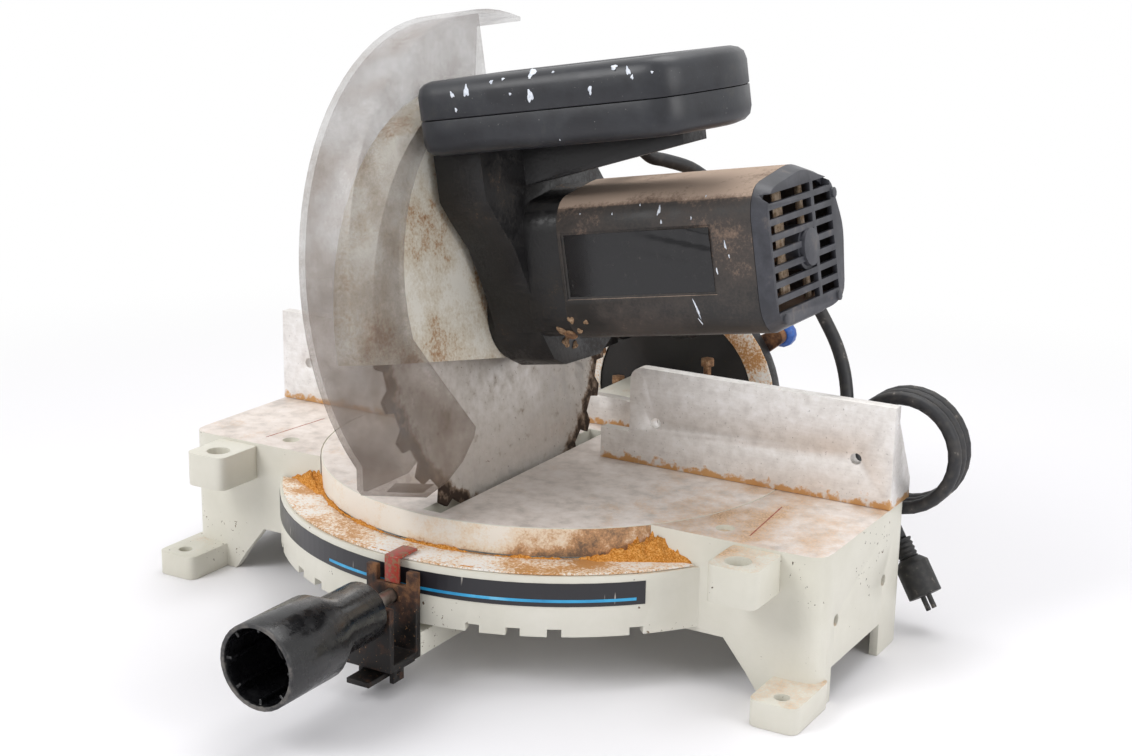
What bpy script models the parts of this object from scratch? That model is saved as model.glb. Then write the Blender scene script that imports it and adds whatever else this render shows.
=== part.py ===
"""Compound mitre saw: a hinged saw head on a turntable, in a four-footed base casting.

Drawing coordinates, in metres: x runs along the fence, y towards the back and z up. The
turntable turns about the z axis through the origin, which lies on the fence's front face.
Pieces of the head are drawn in (u, y, v), upright coordinates on the blade's plane u = 0 and
the table's top v = 0, and the tilted frame of the bevel joint then carries them.
"""
import math

import bmesh
import bpy
from mathutils import Matrix, Vector

# Shared clearances and angles
GAP = 0.0003                 # between pieces that touch
RUNNING_GAP = 0.0005         # between pieces that slide
CUT = 0.002                  # overrun of every cut
REST_BEVEL = math.radians(9)
ROUND_STEPS = 32
SMALL_STEPS = 14
CORNER_STEPS = 4
CORNER_SHARE = 0.48          # of an edge that a rounded corner may take

# Base casting
TABLE_TOP = 0.088
BASE_HALF = 0.2205
WING_FRONT = 0.095
WING_REAR = 0.031
WING_CORNER = 0.012
WALL = 0.005
DECK = 0.007
POCKET_WALL = 0.005
RING_OUTER = 0.1753
RING_WALL = 0.006
RING_BOTTOM = 0.0341
RING_TOP = 0.0692
SKIRT_BOTTOM = 0.031         # lower edge of the wings' walls between the feet
SKIRT_FLAT_HALF = 0.163
SKIRT_KNEE_HALF = 0.178
SKIRT_KNEE_Z = 0.0126
FOOT_INNER = 0.187
SIDE_ARCH_TOP = 0.020
SIDE_ARCH_FRONT = 0.077
SIDE_ARCH_REAR = 0.005
PAD_INNER = 0.1943
PAD_OUTER = 0.2228
PAD_FRONT = 0.129
PAD_REAR = 0.083
PAD_HEIGHT = 0.0152
PAD_HOLE_X = 0.2095
PAD_HOLE_Y = 0.1177
PAD_HOLE_RADIUS = 0.0045
BOSS_INNER = 0.1666
BOSS_OUTER = 0.196
BOSS_FRONT = 0.1294
BOSS_BOTTOM = 0.065
BOSS_TOP = 0.0863
BOSS_CORNER = 0.006
BOSS_HOLE_X = 0.180
BOSS_HOLE_Y = 0.1164
BOSS_HOLE_RADIUS = 0.0075
SIDE_HOLE_RADIUS = 0.0035
SIDE_HOLE_Z = 0.0465
SIDE_HOLE_YS = (-0.0023, -0.0735)
WING_SCREW_X = 0.1534
WING_SCREW_Y = 0.0773
WING_SCREW_RADIUS = 0.0055
WING_SCREW_DEPTH = 0.003
HUB_RADIUS = 0.022
HUB_TOP = 0.056
BAR_HALF_WIDTH = 0.014
BAR_BOTTOM = 0.034
BAR_TOP = 0.046
REAR_ARC_WALL = 0.006
REAR_ARC_TOP = 0.056
DETENT_DEGREES = (-45, -30, -22.5, -15, 0, 15, 22.5, 30, 45)
NOTCH_WIDTH = 0.008
NOTCH_DEPTH = 0.0045

# Mitre scale on the base's ledge
SCALE_THICKNESS = 0.0012
SCALE_MARGIN = 0.0015

# Fence
FENCE_THICKNESS = 0.008
FENCE_HALF = 0.221
FENCE_TOP = 0.1494
FENCE_TAB_TOP = 0.1078
FENCE_CORNER = 0.008
RIGHT_TAB = 0.030
RIGHT_INNER = 0.050
LEFT_TAB = 0.041
LEFT_STEP = 0.055
LEFT_INNER = 0.100
FLANGE_THICKNESS = 0.0057
FLANGE_INNER = 0.038
GUSSET_WIDTH = 0.008
GUSSET_DROP = 0.010
GUSSET_KNEE = 0.012
BOW_INNER = 0.062
BOW_OUTER = 0.070
FENCE_HOLE_XS = (-0.1986, 0.0682, 0.1986)
FENCE_HOLE_Z = 0.1157
FENCE_HOLE_RADIUS = 0.0035
FENCE_BOLT_XS = (-0.198, -0.160, 0.160, 0.198)
FENCE_BOLT_Y = 0.020
BOLT_SHANK = 0.003
BOLT_HEAD = 0.0055
BOLT_HEAD_HEIGHT = 0.004
BOLT_TAIL = 0.006

# Turntable
DISC_RADIUS = 0.1492
DISC_GAP = 0.0008
DISC_BOTTOM = 0.071
DISC_PLATE = 0.008
DISC_RIM = 0.006
SLOT_HALF = 0.006
SLOT_FRONT = 0.142
SLOT_REAR = 0.050
SLOT_FLARE = 0.010           # the slot's right wall leans out below the table by this much
CRADLE_HALF = 0.040
CRADLE_WALL = 0.006
CRADLE_DEPTH = 0.020
CRADLE_FLOOR = 0.004
ARM_HALF = 0.017
ARM_BOTTOM = 0.016
ARM_TOP = 0.030
ARM_WEB_REAR = 0.134
ARM_WEB_FRONT = 0.148
ARM_FRONT = 0.1777
FINGER_SLOT_HALF = 0.005
FINGER_SLOT_FRONT = 0.1765
FINGER_SLOT_REAR = 0.1625
NECK_FRONT = 0.084
NECK_WIDE = 0.120
NECK_REAR = 0.160
NECK_FRONT_HALF = 0.032
NECK_HALF = 0.040
NECK_BOTTOM = 0.060
NECK_TOP = 0.100
NECK_SHOULDER_TOP = 0.090
NECK_CROWN_HALF = 0.027
PIVOT_SHANK = 0.006
PIVOT_HEAD = 0.011
PIVOT_HEAD_HEIGHT = 0.007

# Mitre lock at the front: bracket, pointer, screw, knob and detent lever
BRACKET_PLATE = 0.004
BRACKET_FRONT = 0.207
BRACKET_FRONT_TOP = 0.053
BRACKET_REAR_TOP = 0.066
BRACKET_WINDOW_HALF = 0.010
BRACKET_WINDOW_BOTTOM = 0.057
BRACKET_FLOOR_BOTTOM = 0.016
EAR_INNER = 0.009
EAR_OUTER = 0.012
EAR_HALF = 0.005
EAR_BOTTOM = 0.005
POINTER_HALF = 0.005
POINTER_THICKNESS = 0.0016
POINTER_TIP_Y = 0.163
KNOB_Z = 0.050
KNOB_NECK_RADIUS = 0.017
KNOB_RADIUS = 0.0235
KNOB_BACK = 0.209
KNOB_NECK_END = 0.238
KNOB_FLARE_END = 0.252
KNOB_LIP = 0.298
KNOB_WALL = 0.0025
KNOB_FLOOR = 0.258
KNOB_BORE_END = 0.250
KNOB_RIBS = 8
KNOB_RIB_DEPTH = 0.003
KNOB_RIB_WIDTH = 0.0016
LOCK_SCREW_RADIUS = 0.004
LOCK_SCREW_TIP = 0.1762
LEVER_BOTTOM = 0.008
LEVER_TOP = 0.011
LEVER_HALF = 0.0075
LEVER_FRONT = 0.214
LEVER_REAR = 0.170
LEVER_PIN_Y = 0.192
LEVER_PIN_RADIUS = 0.0012
FINGER_HALF = 0.0036
FINGER_FRONT = 0.1745
FINGER_TOP = 0.0375

# Bevel arm behind the neck, its scale, lock and stops
BEVEL_RADIUS = 0.077
BEVEL_THICKNESS = 0.0095
CHOP_Y = 0.136
CHOP_V = 0.062
LUG_INNER = 0.020
LUG_OUTER = 0.034
LUG_RADIUS = 0.018
CHOP_SHAFT = 0.006
SHAFT_HEAD = 0.0095
SHAFT_HEAD_LENGTH = 0.005
SPOOL_RADIUS = 0.0086
SPOOL_LENGTH = 0.0245
BEVEL_BAND_INNER = 0.060
BEVEL_BAND_THICKNESS = 0.001
BEVEL_BAND_END_DEGREES = 51
STOP_X = 0.0345
STOP_Y = 0.140
STOP_HEAD = 0.005
STOP_HEAD_HEIGHT = 0.005
STOP_SHANK = 0.003
STOP_DEPTH = 0.010
LEFT_STOP_TOP = 0.0995
RIGHT_STOP_TOP = 0.1222
LOCK_BOLT_FRONT = 0.142
LOCK_BOLT_REAR = 0.186
LOCK_LEVER_FRONT = 0.1722
LOCK_LEVER_THICKNESS = 0.008
LOCK_LEVER_ANGLE = math.radians(34)
LOCK_LEVER_HUB = 0.013
LOCK_LEVER_WIDTH = 0.011
LOCK_LEVER_REACH = 0.084
LOCK_KNOB_RADIUS = 0.009
LOCK_KNOB_LENGTH = 0.012
SPRING_WIRE = 0.003
SPRING_RADIUS = 0.011
SPRING_CURLS = 5
SPRING_PITCH = 0.0038
SPRING_LEG = 0.016
EAR_SHELF_FRONT = 0.100
EAR_SHELF_REAR = 0.124
EAR_SHELF_BOTTOM = 0.044
EAR_SHELF_TOP = 0.052
DEPTH_BOLT_Y = 0.109
DEPTH_BOLT_TOP = 0.058
PIN_Y = 0.109
PIN_V = 0.061
PIN_RADIUS = 0.003
PIN_TRAVEL = 0.006
PIN_KNOB = 0.007
PIN_KNOB_LENGTH = 0.009
PIN_EAR_HALF = 0.008

# Blade, arbor and gears
ARBOR_Y = -0.0497
ARBOR_V = 0.097
BLADE_RADIUS = 0.127
BLADE_GULLET = 0.119
BLADE_TEETH = 30
TOOTH_TIP_SHARE = 0.30
TOOTH_ROOT_SHARES = (0.42, 0.86)
BLADE_HALF = 0.0012
ARBOR_RADIUS = 0.008
ARBOR_LEFT = -0.0055
ARBOR_RIGHT = 0.040
FLANGE_RADIUS = 0.022
INNER_FLANGE_END = 0.007
OUTER_FLANGE_END = -0.0052
ARBOR_BOLT_END = -0.0112
ARBOR_BOLT_RADIUS = 0.010
ARBOR_GEAR_START = 0.026
ARBOR_GEAR_END = 0.036
MOTOR_Y = -0.030
MOTOR_V = 0.125
PINION_RADIUS = 0.0103
BEARING_WALL = 0.0094
ARBOR_BEARING_START = 0.0125
ARBOR_BEARING_END = 0.0205

# Upper guard casting
GUARD_RADIUS = 0.137
GUARD_WALL = 0.003
GUARD_LEFT = -0.016
GUARD_RIGHT = 0.011
GUARD_EDGE_FRONT_V = 0.094
GUARD_EDGE_V = 0.070
GUARD_EDGE_KNEE_Y = -0.050
HEAD_HUB_RADIUS = 0.016
HEAD_HUB_HALF = 0.0195
HEAD_TAB_FRONT = 0.102
HEAD_TAB_REAR = 0.116
HEAD_TAB_LEFT = -0.033
HEAD_TAB_THICKNESS = 0.006

# Clear lower guard
CLEAR_Y = -0.052
CLEAR_V = 0.121
CLEAR_RADIUS = 0.155
CLEAR_WALL = 0.0024
CLEAR_INNER = 0.107
CLEAR_LEFT = -0.0187
CLEAR_RIGHT = 0.015
CLEAR_TOP_DEGREES = 73
CLEAR_RIGHT_TOP_DEGREES = 90
CLEAR_FRONT_DEGREES = 214
CLEAR_LIP = (-0.183, 0.020)
CLEAR_FOOT = ((-0.165, 0.0146), (-0.144, 0.0178), (-0.126, 0.0254), (-0.112, 0.036))
CLEAR_TIP = ((-0.109, 0.041), (-0.113, 0.046))
CLEAR_THROAT = (-0.145, 0.086)
CLEAR_HUB_RADIUS = 0.014
CLEAR_SPOKE_DEGREES = (125, 205)
CLEAR_RELIEF = 0.003         # height kept over the table at the full bevel
GUARD_SCREW_RADIUS = 0.004
GUARD_SCREW_HEAD = 0.008
GUARD_SCREW_HEAD_LENGTH = 0.0025

# Gear case
CASE_LEFT = 0.016
CASE_STEP = 0.047
CASE_RIGHT = 0.0697
CASE_TOP = 0.198
CASE_WALL = 0.005
CASE_FRONT_CURVE = ((-0.117, 0.172), (-0.109, 0.160), (-0.095, 0.142), (-0.086, 0.120),
                    (-0.081, 0.104), (-0.077, 0.089), (-0.067, 0.072))
CASE_BOTTOM = ((-0.055, 0.066), (-0.014, 0.064))
CASE_REAR_CURVE = ((0.010, 0.075), (0.020, 0.100), (0.024, 0.130), (0.020, 0.160),
                   (0.005, 0.180))
CASE_TOP_FRONT = -0.117
CASE_TOP_REAR = -0.020
CASE_PAD_RADIUS = 0.028
CAVITY_START = 0.022
CAVITY_RADIUS = 0.025
WEDGE_FRONT = -0.074
WEDGE_REAR = -0.046
WEDGE_END = 0.150
WEDGE_ROOT_V = 0.1745
WEDGE_TIP_V = 0.190
LOCK_BUTTON_V = 0.112
LOCK_BUTTON_RADIUS = 0.006
LOCK_BUTTON_ROOT = 0.014
LOCK_BUTTON_END = 0.030
LOCK_BUTTON_TRAVEL = 0.004

# Motor
MOTOR_START = 0.070
MOTOR_END = 0.190
MOTOR_CENTRE_Y = -0.0305
MOTOR_CENTRE_V = 0.128
MOTOR_HALF_DEPTH = 0.0545
MOTOR_HALF_HEIGHT = 0.044
MOTOR_SECTION_SHARES = ((-0.80, -1.0), (0.55, -1.0), (0.86, -0.90), (1.0, 0.05),
                        (0.75, 0.75), (0.0, 1.0), (-0.84, 0.86), (-1.0, 0.60), (-1.0, -0.72))
MOTOR_CORNER = 0.009
MOTOR_WALL = 0.003
CAP_SCALE_SHARE = 0.94
CAP_LENGTH = 0.008
CAP_WALL = 0.003
CAP_BOSS_RADIUS = 0.0105
CAP_BOSS_OUT = 0.0015
CAP_SLOT_ROWS = 8
CAP_SLOT_PITCH = 0.0084
CAP_SLOT_HEIGHT = 0.0050
CAP_SLOT_BANDS = ((-0.078, -0.0225), (-0.0185, 0.005))
LABEL_START = 0.072
LABEL_END = 0.166
LABEL_BOTTOM = 0.109
LABEL_TOP = 0.147
LABEL_DEPTH = 0.0012
STATOR_START = 0.092
STATOR_END = 0.150
CORE_RADIUS = 0.0265
SHAFT_RADIUS = 0.005
COMMUTATOR_RADIUS = 0.014
COMMUTATOR_START = 0.160
COMMUTATOR_END = 0.172
FAN_RADIUS = 0.034
FAN_BLADES = 9
FAN_START = 0.074
FAN_END = 0.084
FAN_HUB = 0.012
FAN_BACK = 0.0015
REAR_BEARING_START = 0.184
REAR_BEARING_END = 0.189
SHAFT_BEARING_RADIUS = 0.0095
SHAFT_LEFT = 0.0180
SHAFT_RIGHT = 0.1885
NOSE_BEARING_START = 0.0178
NOSE_BEARING_END = 0.0215
CAP_SCREW_RADIUS = 0.003
CAP_SCREW_OUT = 0.0012
CAP_SCREW_SHARES = ((-0.74, -0.82), (0.62, -0.82), (0.72, 0.50))

# Handle
HANDLE_LEFT = 0.019
HANDLE_RIGHT = 0.191
HANDLE_FRONT = -0.138
HANDLE_REAR = -0.044
HANDLE_FRONT_RIGHT = 0.176
HANDLE_REAR_RIGHT = 0.181
HANDLE_ELBOW_Y = -0.082
HANDLE_CORNER = 0.016
HANDLE_PARTING = 0.218
HANDLE_TOP = 0.239
HANDLE_WALL = 0.003
HANDLE_ROUND = 0.008
HANDLE_ROUND_SHARES = ((0, 0), (0.55, 0.15), (0.85, 0.5), (1, 1))
HANDLE_HOLE_LEFT = 0.052
HANDLE_HOLE_RIGHT = 0.152
HANDLE_HOLE_FRONT = -0.103
HANDLE_HOLE_REAR = -0.072
HANDLE_HOLE_CORNER = 0.010
TRIGGER_START = 0.070
TRIGGER_END = 0.110
TRIGGER_BOTTOM = 0.205
TRIGGER_TOP = 0.229
TRIGGER_OUT = 0.008
TRIGGER_TRAVEL = 0.006
TRIGGER_LIP = 0.003
SWITCH_START = 0.075
SWITCH_END = 0.105
SWITCH_FRONT = -0.1345
SWITCH_TOP = 0.230

# Cord, from the handle to the plug; the route's points are chosen by hand
CORD_RADIUS = 0.004
SLEEVE_START = (0.086, -0.0437, 0.206)
SLEEVE_END = (0.098, -0.0265, 0.186)
SLEEVE_RADIUS = 0.0085
SLEEVE_TIP_RADIUS = 0.0062
SLEEVE_RIBS = 5
RIB_WIDTH_SHARE = 0.2
RIB_DEPTH_SHARE = 0.17
LEAD_ROUTE = ((0.0850, 0.0020, 0.2740), (0.1020, 0.0280, 0.2520), (0.1240, 0.0420, 0.2240),
              (0.1500, 0.0470, 0.1920), (0.1680, 0.0445, 0.1640), (0.1765, 0.0380, 0.1390))
LEAD_BREAK_SHARES = (0.34, 0.62)
COIL_CENTRE_X = 0.2115
COIL_CENTRE_Z = 0.111
COIL_RADIUS = 0.033
COIL_FRONT = 0.0355
COIL_PITCH = 0.0086
COIL_START_DEGREES = 180
COIL_END_DEGREES = 200
COIL_LOOPS = 3
TAIL_ROUTE = ((0.1905, 0.0608, 0.0790), (0.1980, 0.0580, 0.0695))
PLUG_START = (0.2100, 0.0532, 0.0525)
PLUG_DIRECTION = (0.56, -0.20, -0.80)
PLUG_SLEEVE_LENGTH = 0.012
PLUG_LENGTH = 0.024
PLUG_RADIUS = 0.0105
PLUG_WAIST = 0.0065
PRONG_LENGTH = 0.009
PRONG_RADIUS = 0.0016
PRONG_SPACING = 0.008
ROUTE_STEP = 0.018

FRONT_REACH = KNOB_LIP
REAR_REACH = LOCK_LEVER_FRONT + LOCK_LEVER_THICKNESS + LOCK_KNOB_LENGTH
ORIGIN_SHIFT = (FRONT_REACH - REAR_REACH) / 2

AXES = {
    "X": lambda a, b, along: (along, a, b),
    "Y": lambda a, b, along: (a, along, b),
    "Z": lambda a, b, along: (a, b, along),
}


class Frame:
    """An empty on a joint's axis, with the drawing coordinates of the pieces that it carries."""

    def __init__(self, name, place, parent=None, origin=None, tilt=0):
        self.origin = Vector(place if origin is None else origin)
        self.empty = bpy.data.objects.new(name, None)
        bpy.context.scene.collection.objects.link(self.empty)
        self.empty.location = Vector(place) - (parent.origin if parent else Vector())
        self.empty.rotation_euler = (0, -tilt, 0)
        self.matrix = Matrix.Translation(self.empty.location) @ Matrix.Rotation(-tilt, 4, "Y")
        if parent:
            self.empty.parent = parent.empty
            self.matrix = parent.matrix @ self.matrix

    def local(self, point):
        """A point of the world, in the empty's own coordinates."""
        return self.matrix.inverted() @ Vector(point)

    def world(self, point):
        """A point drawn in this frame's coordinates, in the world."""
        return self.matrix @ (Vector(point) - self.origin)


def clear_scene():
    for thing in list(bpy.data.objects):
        bpy.data.objects.remove(thing)


def material(name, colour, roughness, metallic=0, alpha=1):
    finish = bpy.data.materials.new(name)
    finish.use_nodes = True
    shader = finish.node_tree.nodes["Principled BSDF"]
    shader.inputs["Base Color"].default_value = (*colour, 1)
    shader.inputs["Roughness"].default_value = roughness
    shader.inputs["Metallic"].default_value = metallic
    shader.inputs["Alpha"].default_value = alpha
    return finish


def finished(form, name="shape"):
    """Turn a bmesh into a mesh with outward faces and smooth round sides."""
    bmesh.ops.recalc_face_normals(form, faces=form.faces)
    mesh = bpy.data.meshes.new(name)
    form.to_mesh(mesh)
    form.free()
    mesh.shade_smooth()
    mesh.set_sharp_from_angle(angle=math.radians(35))
    return mesh


def loft(axis, sections):
    """A closed solid through outlines of equal length, given as (place along the axis, points)."""
    form = bmesh.new()
    rings = [[form.verts.new(AXES[axis](a, b, along)) for a, b in outline]
             for along, outline in sections]
    for ring, following in zip(rings, rings[1:]):
        for i in range(len(ring)):
            j = (i + 1) % len(ring)
            form.faces.new((ring[i], ring[j], following[j], following[i]))
    form.faces.new(rings[0])
    form.faces.new(rings[-1])
    return finished(form)


def prism(axis, outline, start, end):
    return loft(axis, [(start, outline), (end, outline)])


def box(x, y, z):
    """A block between pairs of limits."""
    return prism("Z", [(x[0], y[0]), (x[1], y[0]), (x[1], y[1]), (x[0], y[1])], z[0], z[1])


def turned(axis, profile, centre=(0, 0), steps=ROUND_STEPS):
    """A turned solid from (radius, place along the axis) points; a zero radius lies on the axis."""
    form = bmesh.new()
    rings = []
    for radius, along in profile:
        if radius == 0:
            rings.append([form.verts.new(AXES[axis](*centre, along))] * steps)
            continue
        angles = [2 * math.pi * i / steps for i in range(steps)]
        rings.append([form.verts.new(AXES[axis](centre[0] + radius * math.cos(t),
                                                centre[1] + radius * math.sin(t), along))
                      for t in angles])
    pairs = list(zip(rings, rings[1:]))
    if profile[0][0] > 0:
        pairs.append((rings[-1], rings[0]))
    for ring, following in pairs:
        for i in range(steps):
            j = (i + 1) % steps
            corners = dict.fromkeys((ring[i], ring[j], following[j], following[i]))
            form.faces.new(tuple(corners))
    return finished(form)


def rod(axis, centre, radius, start, end, steps=SMALL_STEPS):
    return turned(axis, [(0, start), (radius, start), (radius, end), (0, end)], centre, steps)


def collar(axis, centre, bore, radius, start, end, steps=SMALL_STEPS):
    profile = [(bore, start), (radius, start), (radius, end), (bore, end)]
    return turned(axis, profile, centre, steps)


def hexagon(axis, centre, radius, start, end):
    return turned(axis, [(0, start), (radius, start), (radius, end), (0, end)], centre, 6)


def together(*meshes):
    """Several separate solids in one mesh."""
    form = bmesh.new()
    for mesh in meshes:
        form.from_mesh(mesh)
    return finished(form)


def arc(centre, radius, start, end, steps):
    """Points from one angle to another, in degrees."""
    angles = [math.radians(start + (end - start) * i / steps) for i in range(steps + 1)]
    return [(centre[0] + radius * math.cos(t), centre[1] + radius * math.sin(t)) for t in angles]


def rounded(outline, cut, steps=CORNER_STEPS):
    """The outline with each corner turned into a curve that starts a cut's length before it."""
    smooth = []
    for i, corner in enumerate(outline):
        corner = Vector(corner)
        before = Vector(outline[i - 1]) - corner
        after = Vector(outline[(i + 1) % len(outline)]) - corner
        take = min(cut, before.length * CORNER_SHARE, after.length * CORNER_SHARE)
        first = corner + before.normalized() * take
        last = corner + after.normalized() * take
        for k in range(steps + 1):
            t = k / steps
            smooth.append(tuple(first * (1 - t) ** 2 + corner * 2 * t * (1 - t) + last * t ** 2))
    return smooth


def inset(outline, distance):
    """The outline moved inwards by a distance; a negative distance moves it outwards."""
    area = sum(a[0] * b[1] - b[0] * a[1] for a, b in zip(outline, outline[1:] + outline[:1]))
    side = 1 if area > 0 else -1
    moved = []
    for i, point in enumerate(outline):
        back = Vector(point) - Vector(outline[i - 1])
        ahead = Vector(outline[(i + 1) % len(outline)]) - Vector(point)
        first = Vector((-back.y, back.x)).normalized() * side
        last = Vector((-ahead.y, ahead.x)).normalized() * side
        shift = (first + last) / (1 + first.dot(last))
        moved.append(tuple(Vector(point) + shift * distance))
    return moved


def scaled(outline, centre, share):
    return [(centre[0] + (a - centre[0]) * share, centre[1] + (b - centre[1]) * share)
            for a, b in outline]


def add(name, frame, finish, mesh):
    """A named piece, drawn in the frame's coordinates and carried by its empty."""
    mesh.transform(Matrix.Translation(-frame.origin))
    mesh.materials.append(finish)
    piece = bpy.data.objects.new(name, mesh)
    bpy.context.scene.collection.objects.link(piece)
    piece.parent = frame.empty
    return piece


def shape(piece, frame, operation, mesh):
    """Join a mesh to a piece, or cut it out, with a hidden guide."""
    mesh.transform(Matrix.Translation(-frame.origin))
    guide = bpy.data.objects.new("guide_" + piece.name, mesh)
    bpy.context.scene.collection.objects.link(guide)
    guide.parent = frame.empty
    guide.hide_render = True
    guide.display_type = "WIRE"
    step = piece.modifiers.new(operation.lower(), "BOOLEAN")
    step.operation = operation
    step.object = guide
    return guide


def join(piece, frame, *meshes):
    for mesh in meshes:
        shape(piece, frame, "UNION", mesh)


def cut(piece, frame, *meshes):
    for mesh in meshes:
        shape(piece, frame, "DIFFERENCE", mesh)


def smooth_route(points, step):
    """Evenly spaced points on a smooth curve through the route's own points."""
    points = [Vector(point) for point in points]
    ends = [2 * points[0] - points[1], *points, 2 * points[-1] - points[-2]]
    fine = []
    pieces_per_span = 24
    for a, b, c, d in zip(ends, ends[1:], ends[2:], ends[3:]):
        for k in range(pieces_per_span):
            t = k / pieces_per_span
            fine.append((2 * b + (c - a) * t + (2 * a - 5 * b + 4 * c - d) * t ** 2
                         + (3 * b - a - 3 * c + d) * t ** 3) / 2)
    fine.append(points[-1])
    travelled = [0]
    for a, b in zip(fine, fine[1:]):
        travelled.append(travelled[-1] + (b - a).length)
    count = max(2, round(travelled[-1] / step))
    route = []
    for i in range(count + 1):
        wanted = travelled[-1] * i / count
        k = next((n for n in range(1, len(fine)) if travelled[n] >= wanted), len(fine) - 1)
        share = (wanted - travelled[k - 1]) / (travelled[k] - travelled[k - 1])
        route.append(fine[k - 1].lerp(fine[k], share))
    return route


def tube(name, frame, finish, points, radius, resolution=2):
    """A round tube with filled ends along points of the frame's own coordinates."""
    line = bpy.data.curves.new(name, "CURVE")
    line.dimensions = "3D"
    line.bevel_depth = radius
    line.bevel_resolution = resolution
    line.use_fill_caps = True
    spline = line.splines.new("POLY")
    spline.points.add(len(points) - 1)
    for knot, point in zip(spline.points, points):
        knot.co = (*point, 1)
    line.materials.append(finish)
    piece = bpy.data.objects.new(name, line)
    bpy.context.scene.collection.objects.link(piece)
    piece.parent = frame.empty
    return piece


def crescent(outer, inner, edge, steps=28):
    """The part of a ring in front of the line y = -edge."""
    outer_end = math.degrees(math.acos(edge / outer))
    inner_end = math.degrees(math.acos(edge / inner))
    return (arc((0, 0), outer, -90 - outer_end, -90 + outer_end, steps)
            + arc((0, 0), inner, -90 + inner_end, -90 - inner_end, steps))


def make_base(frame, finish):
    pocket = DISC_RADIUS + DISC_GAP
    front = -WING_FRONT
    plan = rounded([(-BASE_HALF, WING_REAR), (-BASE_HALF, front), (BASE_HALF, front),
                    (BASE_HALF, WING_REAR)], WING_CORNER)
    base = add("base_casting", frame, finish, prism("Z", plan, 0, TABLE_TOP))
    hollow = shape(base, frame, "DIFFERENCE", prism("Z", inset(plan, WALL), -CUT, TABLE_TOP - DECK))
    cut(hollow, frame, rod("Z", (0, 0), pocket + POCKET_WALL, -2 * CUT, TABLE_TOP, ROUND_STEPS * 2))
    cut(base, frame, rod("Z", (0, 0), pocket, -CUT, TABLE_TOP + CUT, ROUND_STEPS * 2))
    reach = BASE_HALF + CUT
    skirt = [(-FOOT_INNER, -CUT), (-FOOT_INNER, 0), (-SKIRT_KNEE_HALF, SKIRT_KNEE_Z),
             (-SKIRT_FLAT_HALF, SKIRT_BOTTOM), (SKIRT_FLAT_HALF, SKIRT_BOTTOM),
             (SKIRT_KNEE_HALF, SKIRT_KNEE_Z), (FOOT_INNER, 0), (FOOT_INNER, -CUT)]
    cut(base, frame, prism("Y", skirt, front - CUT, WING_REAR + CUT),
        box((-reach, reach), (-SIDE_ARCH_FRONT, -SIDE_ARCH_REAR), (-CUT, SIDE_ARCH_TOP)))
    edge = WING_FRONT - WALL / 2
    join(base, frame,
         prism("Z", crescent(RING_OUTER, RING_OUTER - RING_WALL, edge), RING_BOTTOM, RING_TOP),
         prism("Z", crescent(RING_OUTER, pocket, edge), RING_TOP - WALL, RING_TOP),
         prism("Z", mirrored_back(crescent(pocket + POCKET_WALL, pocket + POCKET_WALL - REAR_ARC_WALL,
                                           WING_REAR - WALL / 2)), BAR_BOTTOM, REAR_ARC_TOP))
    bar = pocket + POCKET_WALL / 2
    join(base, frame, box((-bar, bar), (-BAR_HALF_WIDTH, BAR_HALF_WIDTH), (BAR_BOTTOM, BAR_TOP)),
         rod("Z", (0, 0), HUB_RADIUS, BAR_BOTTOM, HUB_TOP, ROUND_STEPS))
    for side in (-1, 1):
        add_front_corner(base, frame, side)
    tools = [rod("Z", (0, 0), PIVOT_SHANK + GAP, BAR_BOTTOM - CUT, HUB_TOP + CUT)]
    tools += [rod("Z", (x, FENCE_BOLT_Y), BOLT_SHANK + GAP, TABLE_TOP - DECK - CUT, TABLE_TOP + CUT)
              for x in FENCE_BOLT_XS]
    tools += [rod("X", (y, SIDE_HOLE_Z), SIDE_HOLE_RADIUS, side * (BASE_HALF - WALL - CUT),
                  side * reach) for y in SIDE_HOLE_YS for side in (-1, 1)]
    cut(base, frame, together(*tools), detent_notches())


def mirrored_back(outline):
    return [(a, -b) for a, b in outline]


def add_front_corner(base, frame, side):
    """The foot pad, the block with the upright hole and the countersunk hole of one wing."""
    pad = rounded([(side * PAD_INNER, -PAD_FRONT), (side * PAD_OUTER, -PAD_FRONT),
                   (side * PAD_OUTER, -PAD_REAR), (side * PAD_INNER, -PAD_REAR)], BOSS_CORNER)
    boss = rounded([(side * BOSS_INNER, -BOSS_FRONT), (side * BOSS_OUTER, -BOSS_FRONT),
                    (side * BOSS_OUTER, -WING_FRONT + WALL / 2),
                    (side * BOSS_INNER, -WING_FRONT + WALL / 2)], BOSS_CORNER)
    join(base, frame, prism("Z", pad, 0, PAD_HEIGHT), prism("Z", boss, BOSS_BOTTOM, BOSS_TOP))
    cut(base, frame, together(
        rod("Z", (side * PAD_HOLE_X, -PAD_HOLE_Y), PAD_HOLE_RADIUS, -CUT, PAD_HEIGHT + CUT),
        rod("Z", (side * BOSS_HOLE_X, -BOSS_HOLE_Y), BOSS_HOLE_RADIUS, BOSS_BOTTOM - CUT,
            BOSS_TOP + CUT),
        rod("Z", (side * WING_SCREW_X, -WING_SCREW_Y), WING_SCREW_RADIUS,
            TABLE_TOP - WING_SCREW_DEPTH, TABLE_TOP + CUT)))


def detent_notches():
    """Blocks that cut the detent notches into the front ring's lower edge."""
    blocks = []
    for degrees in DETENT_DEGREES:
        block = box((-NOTCH_WIDTH / 2, NOTCH_WIDTH / 2),
                    (-RING_OUTER - CUT, -RING_OUTER + RING_WALL + CUT),
                    (RING_BOTTOM - CUT, RING_BOTTOM + NOTCH_DEPTH))
        block.transform(Matrix.Rotation(math.radians(degrees), 4, "Z"))
        blocks.append(block)
    return together(*blocks)


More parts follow.
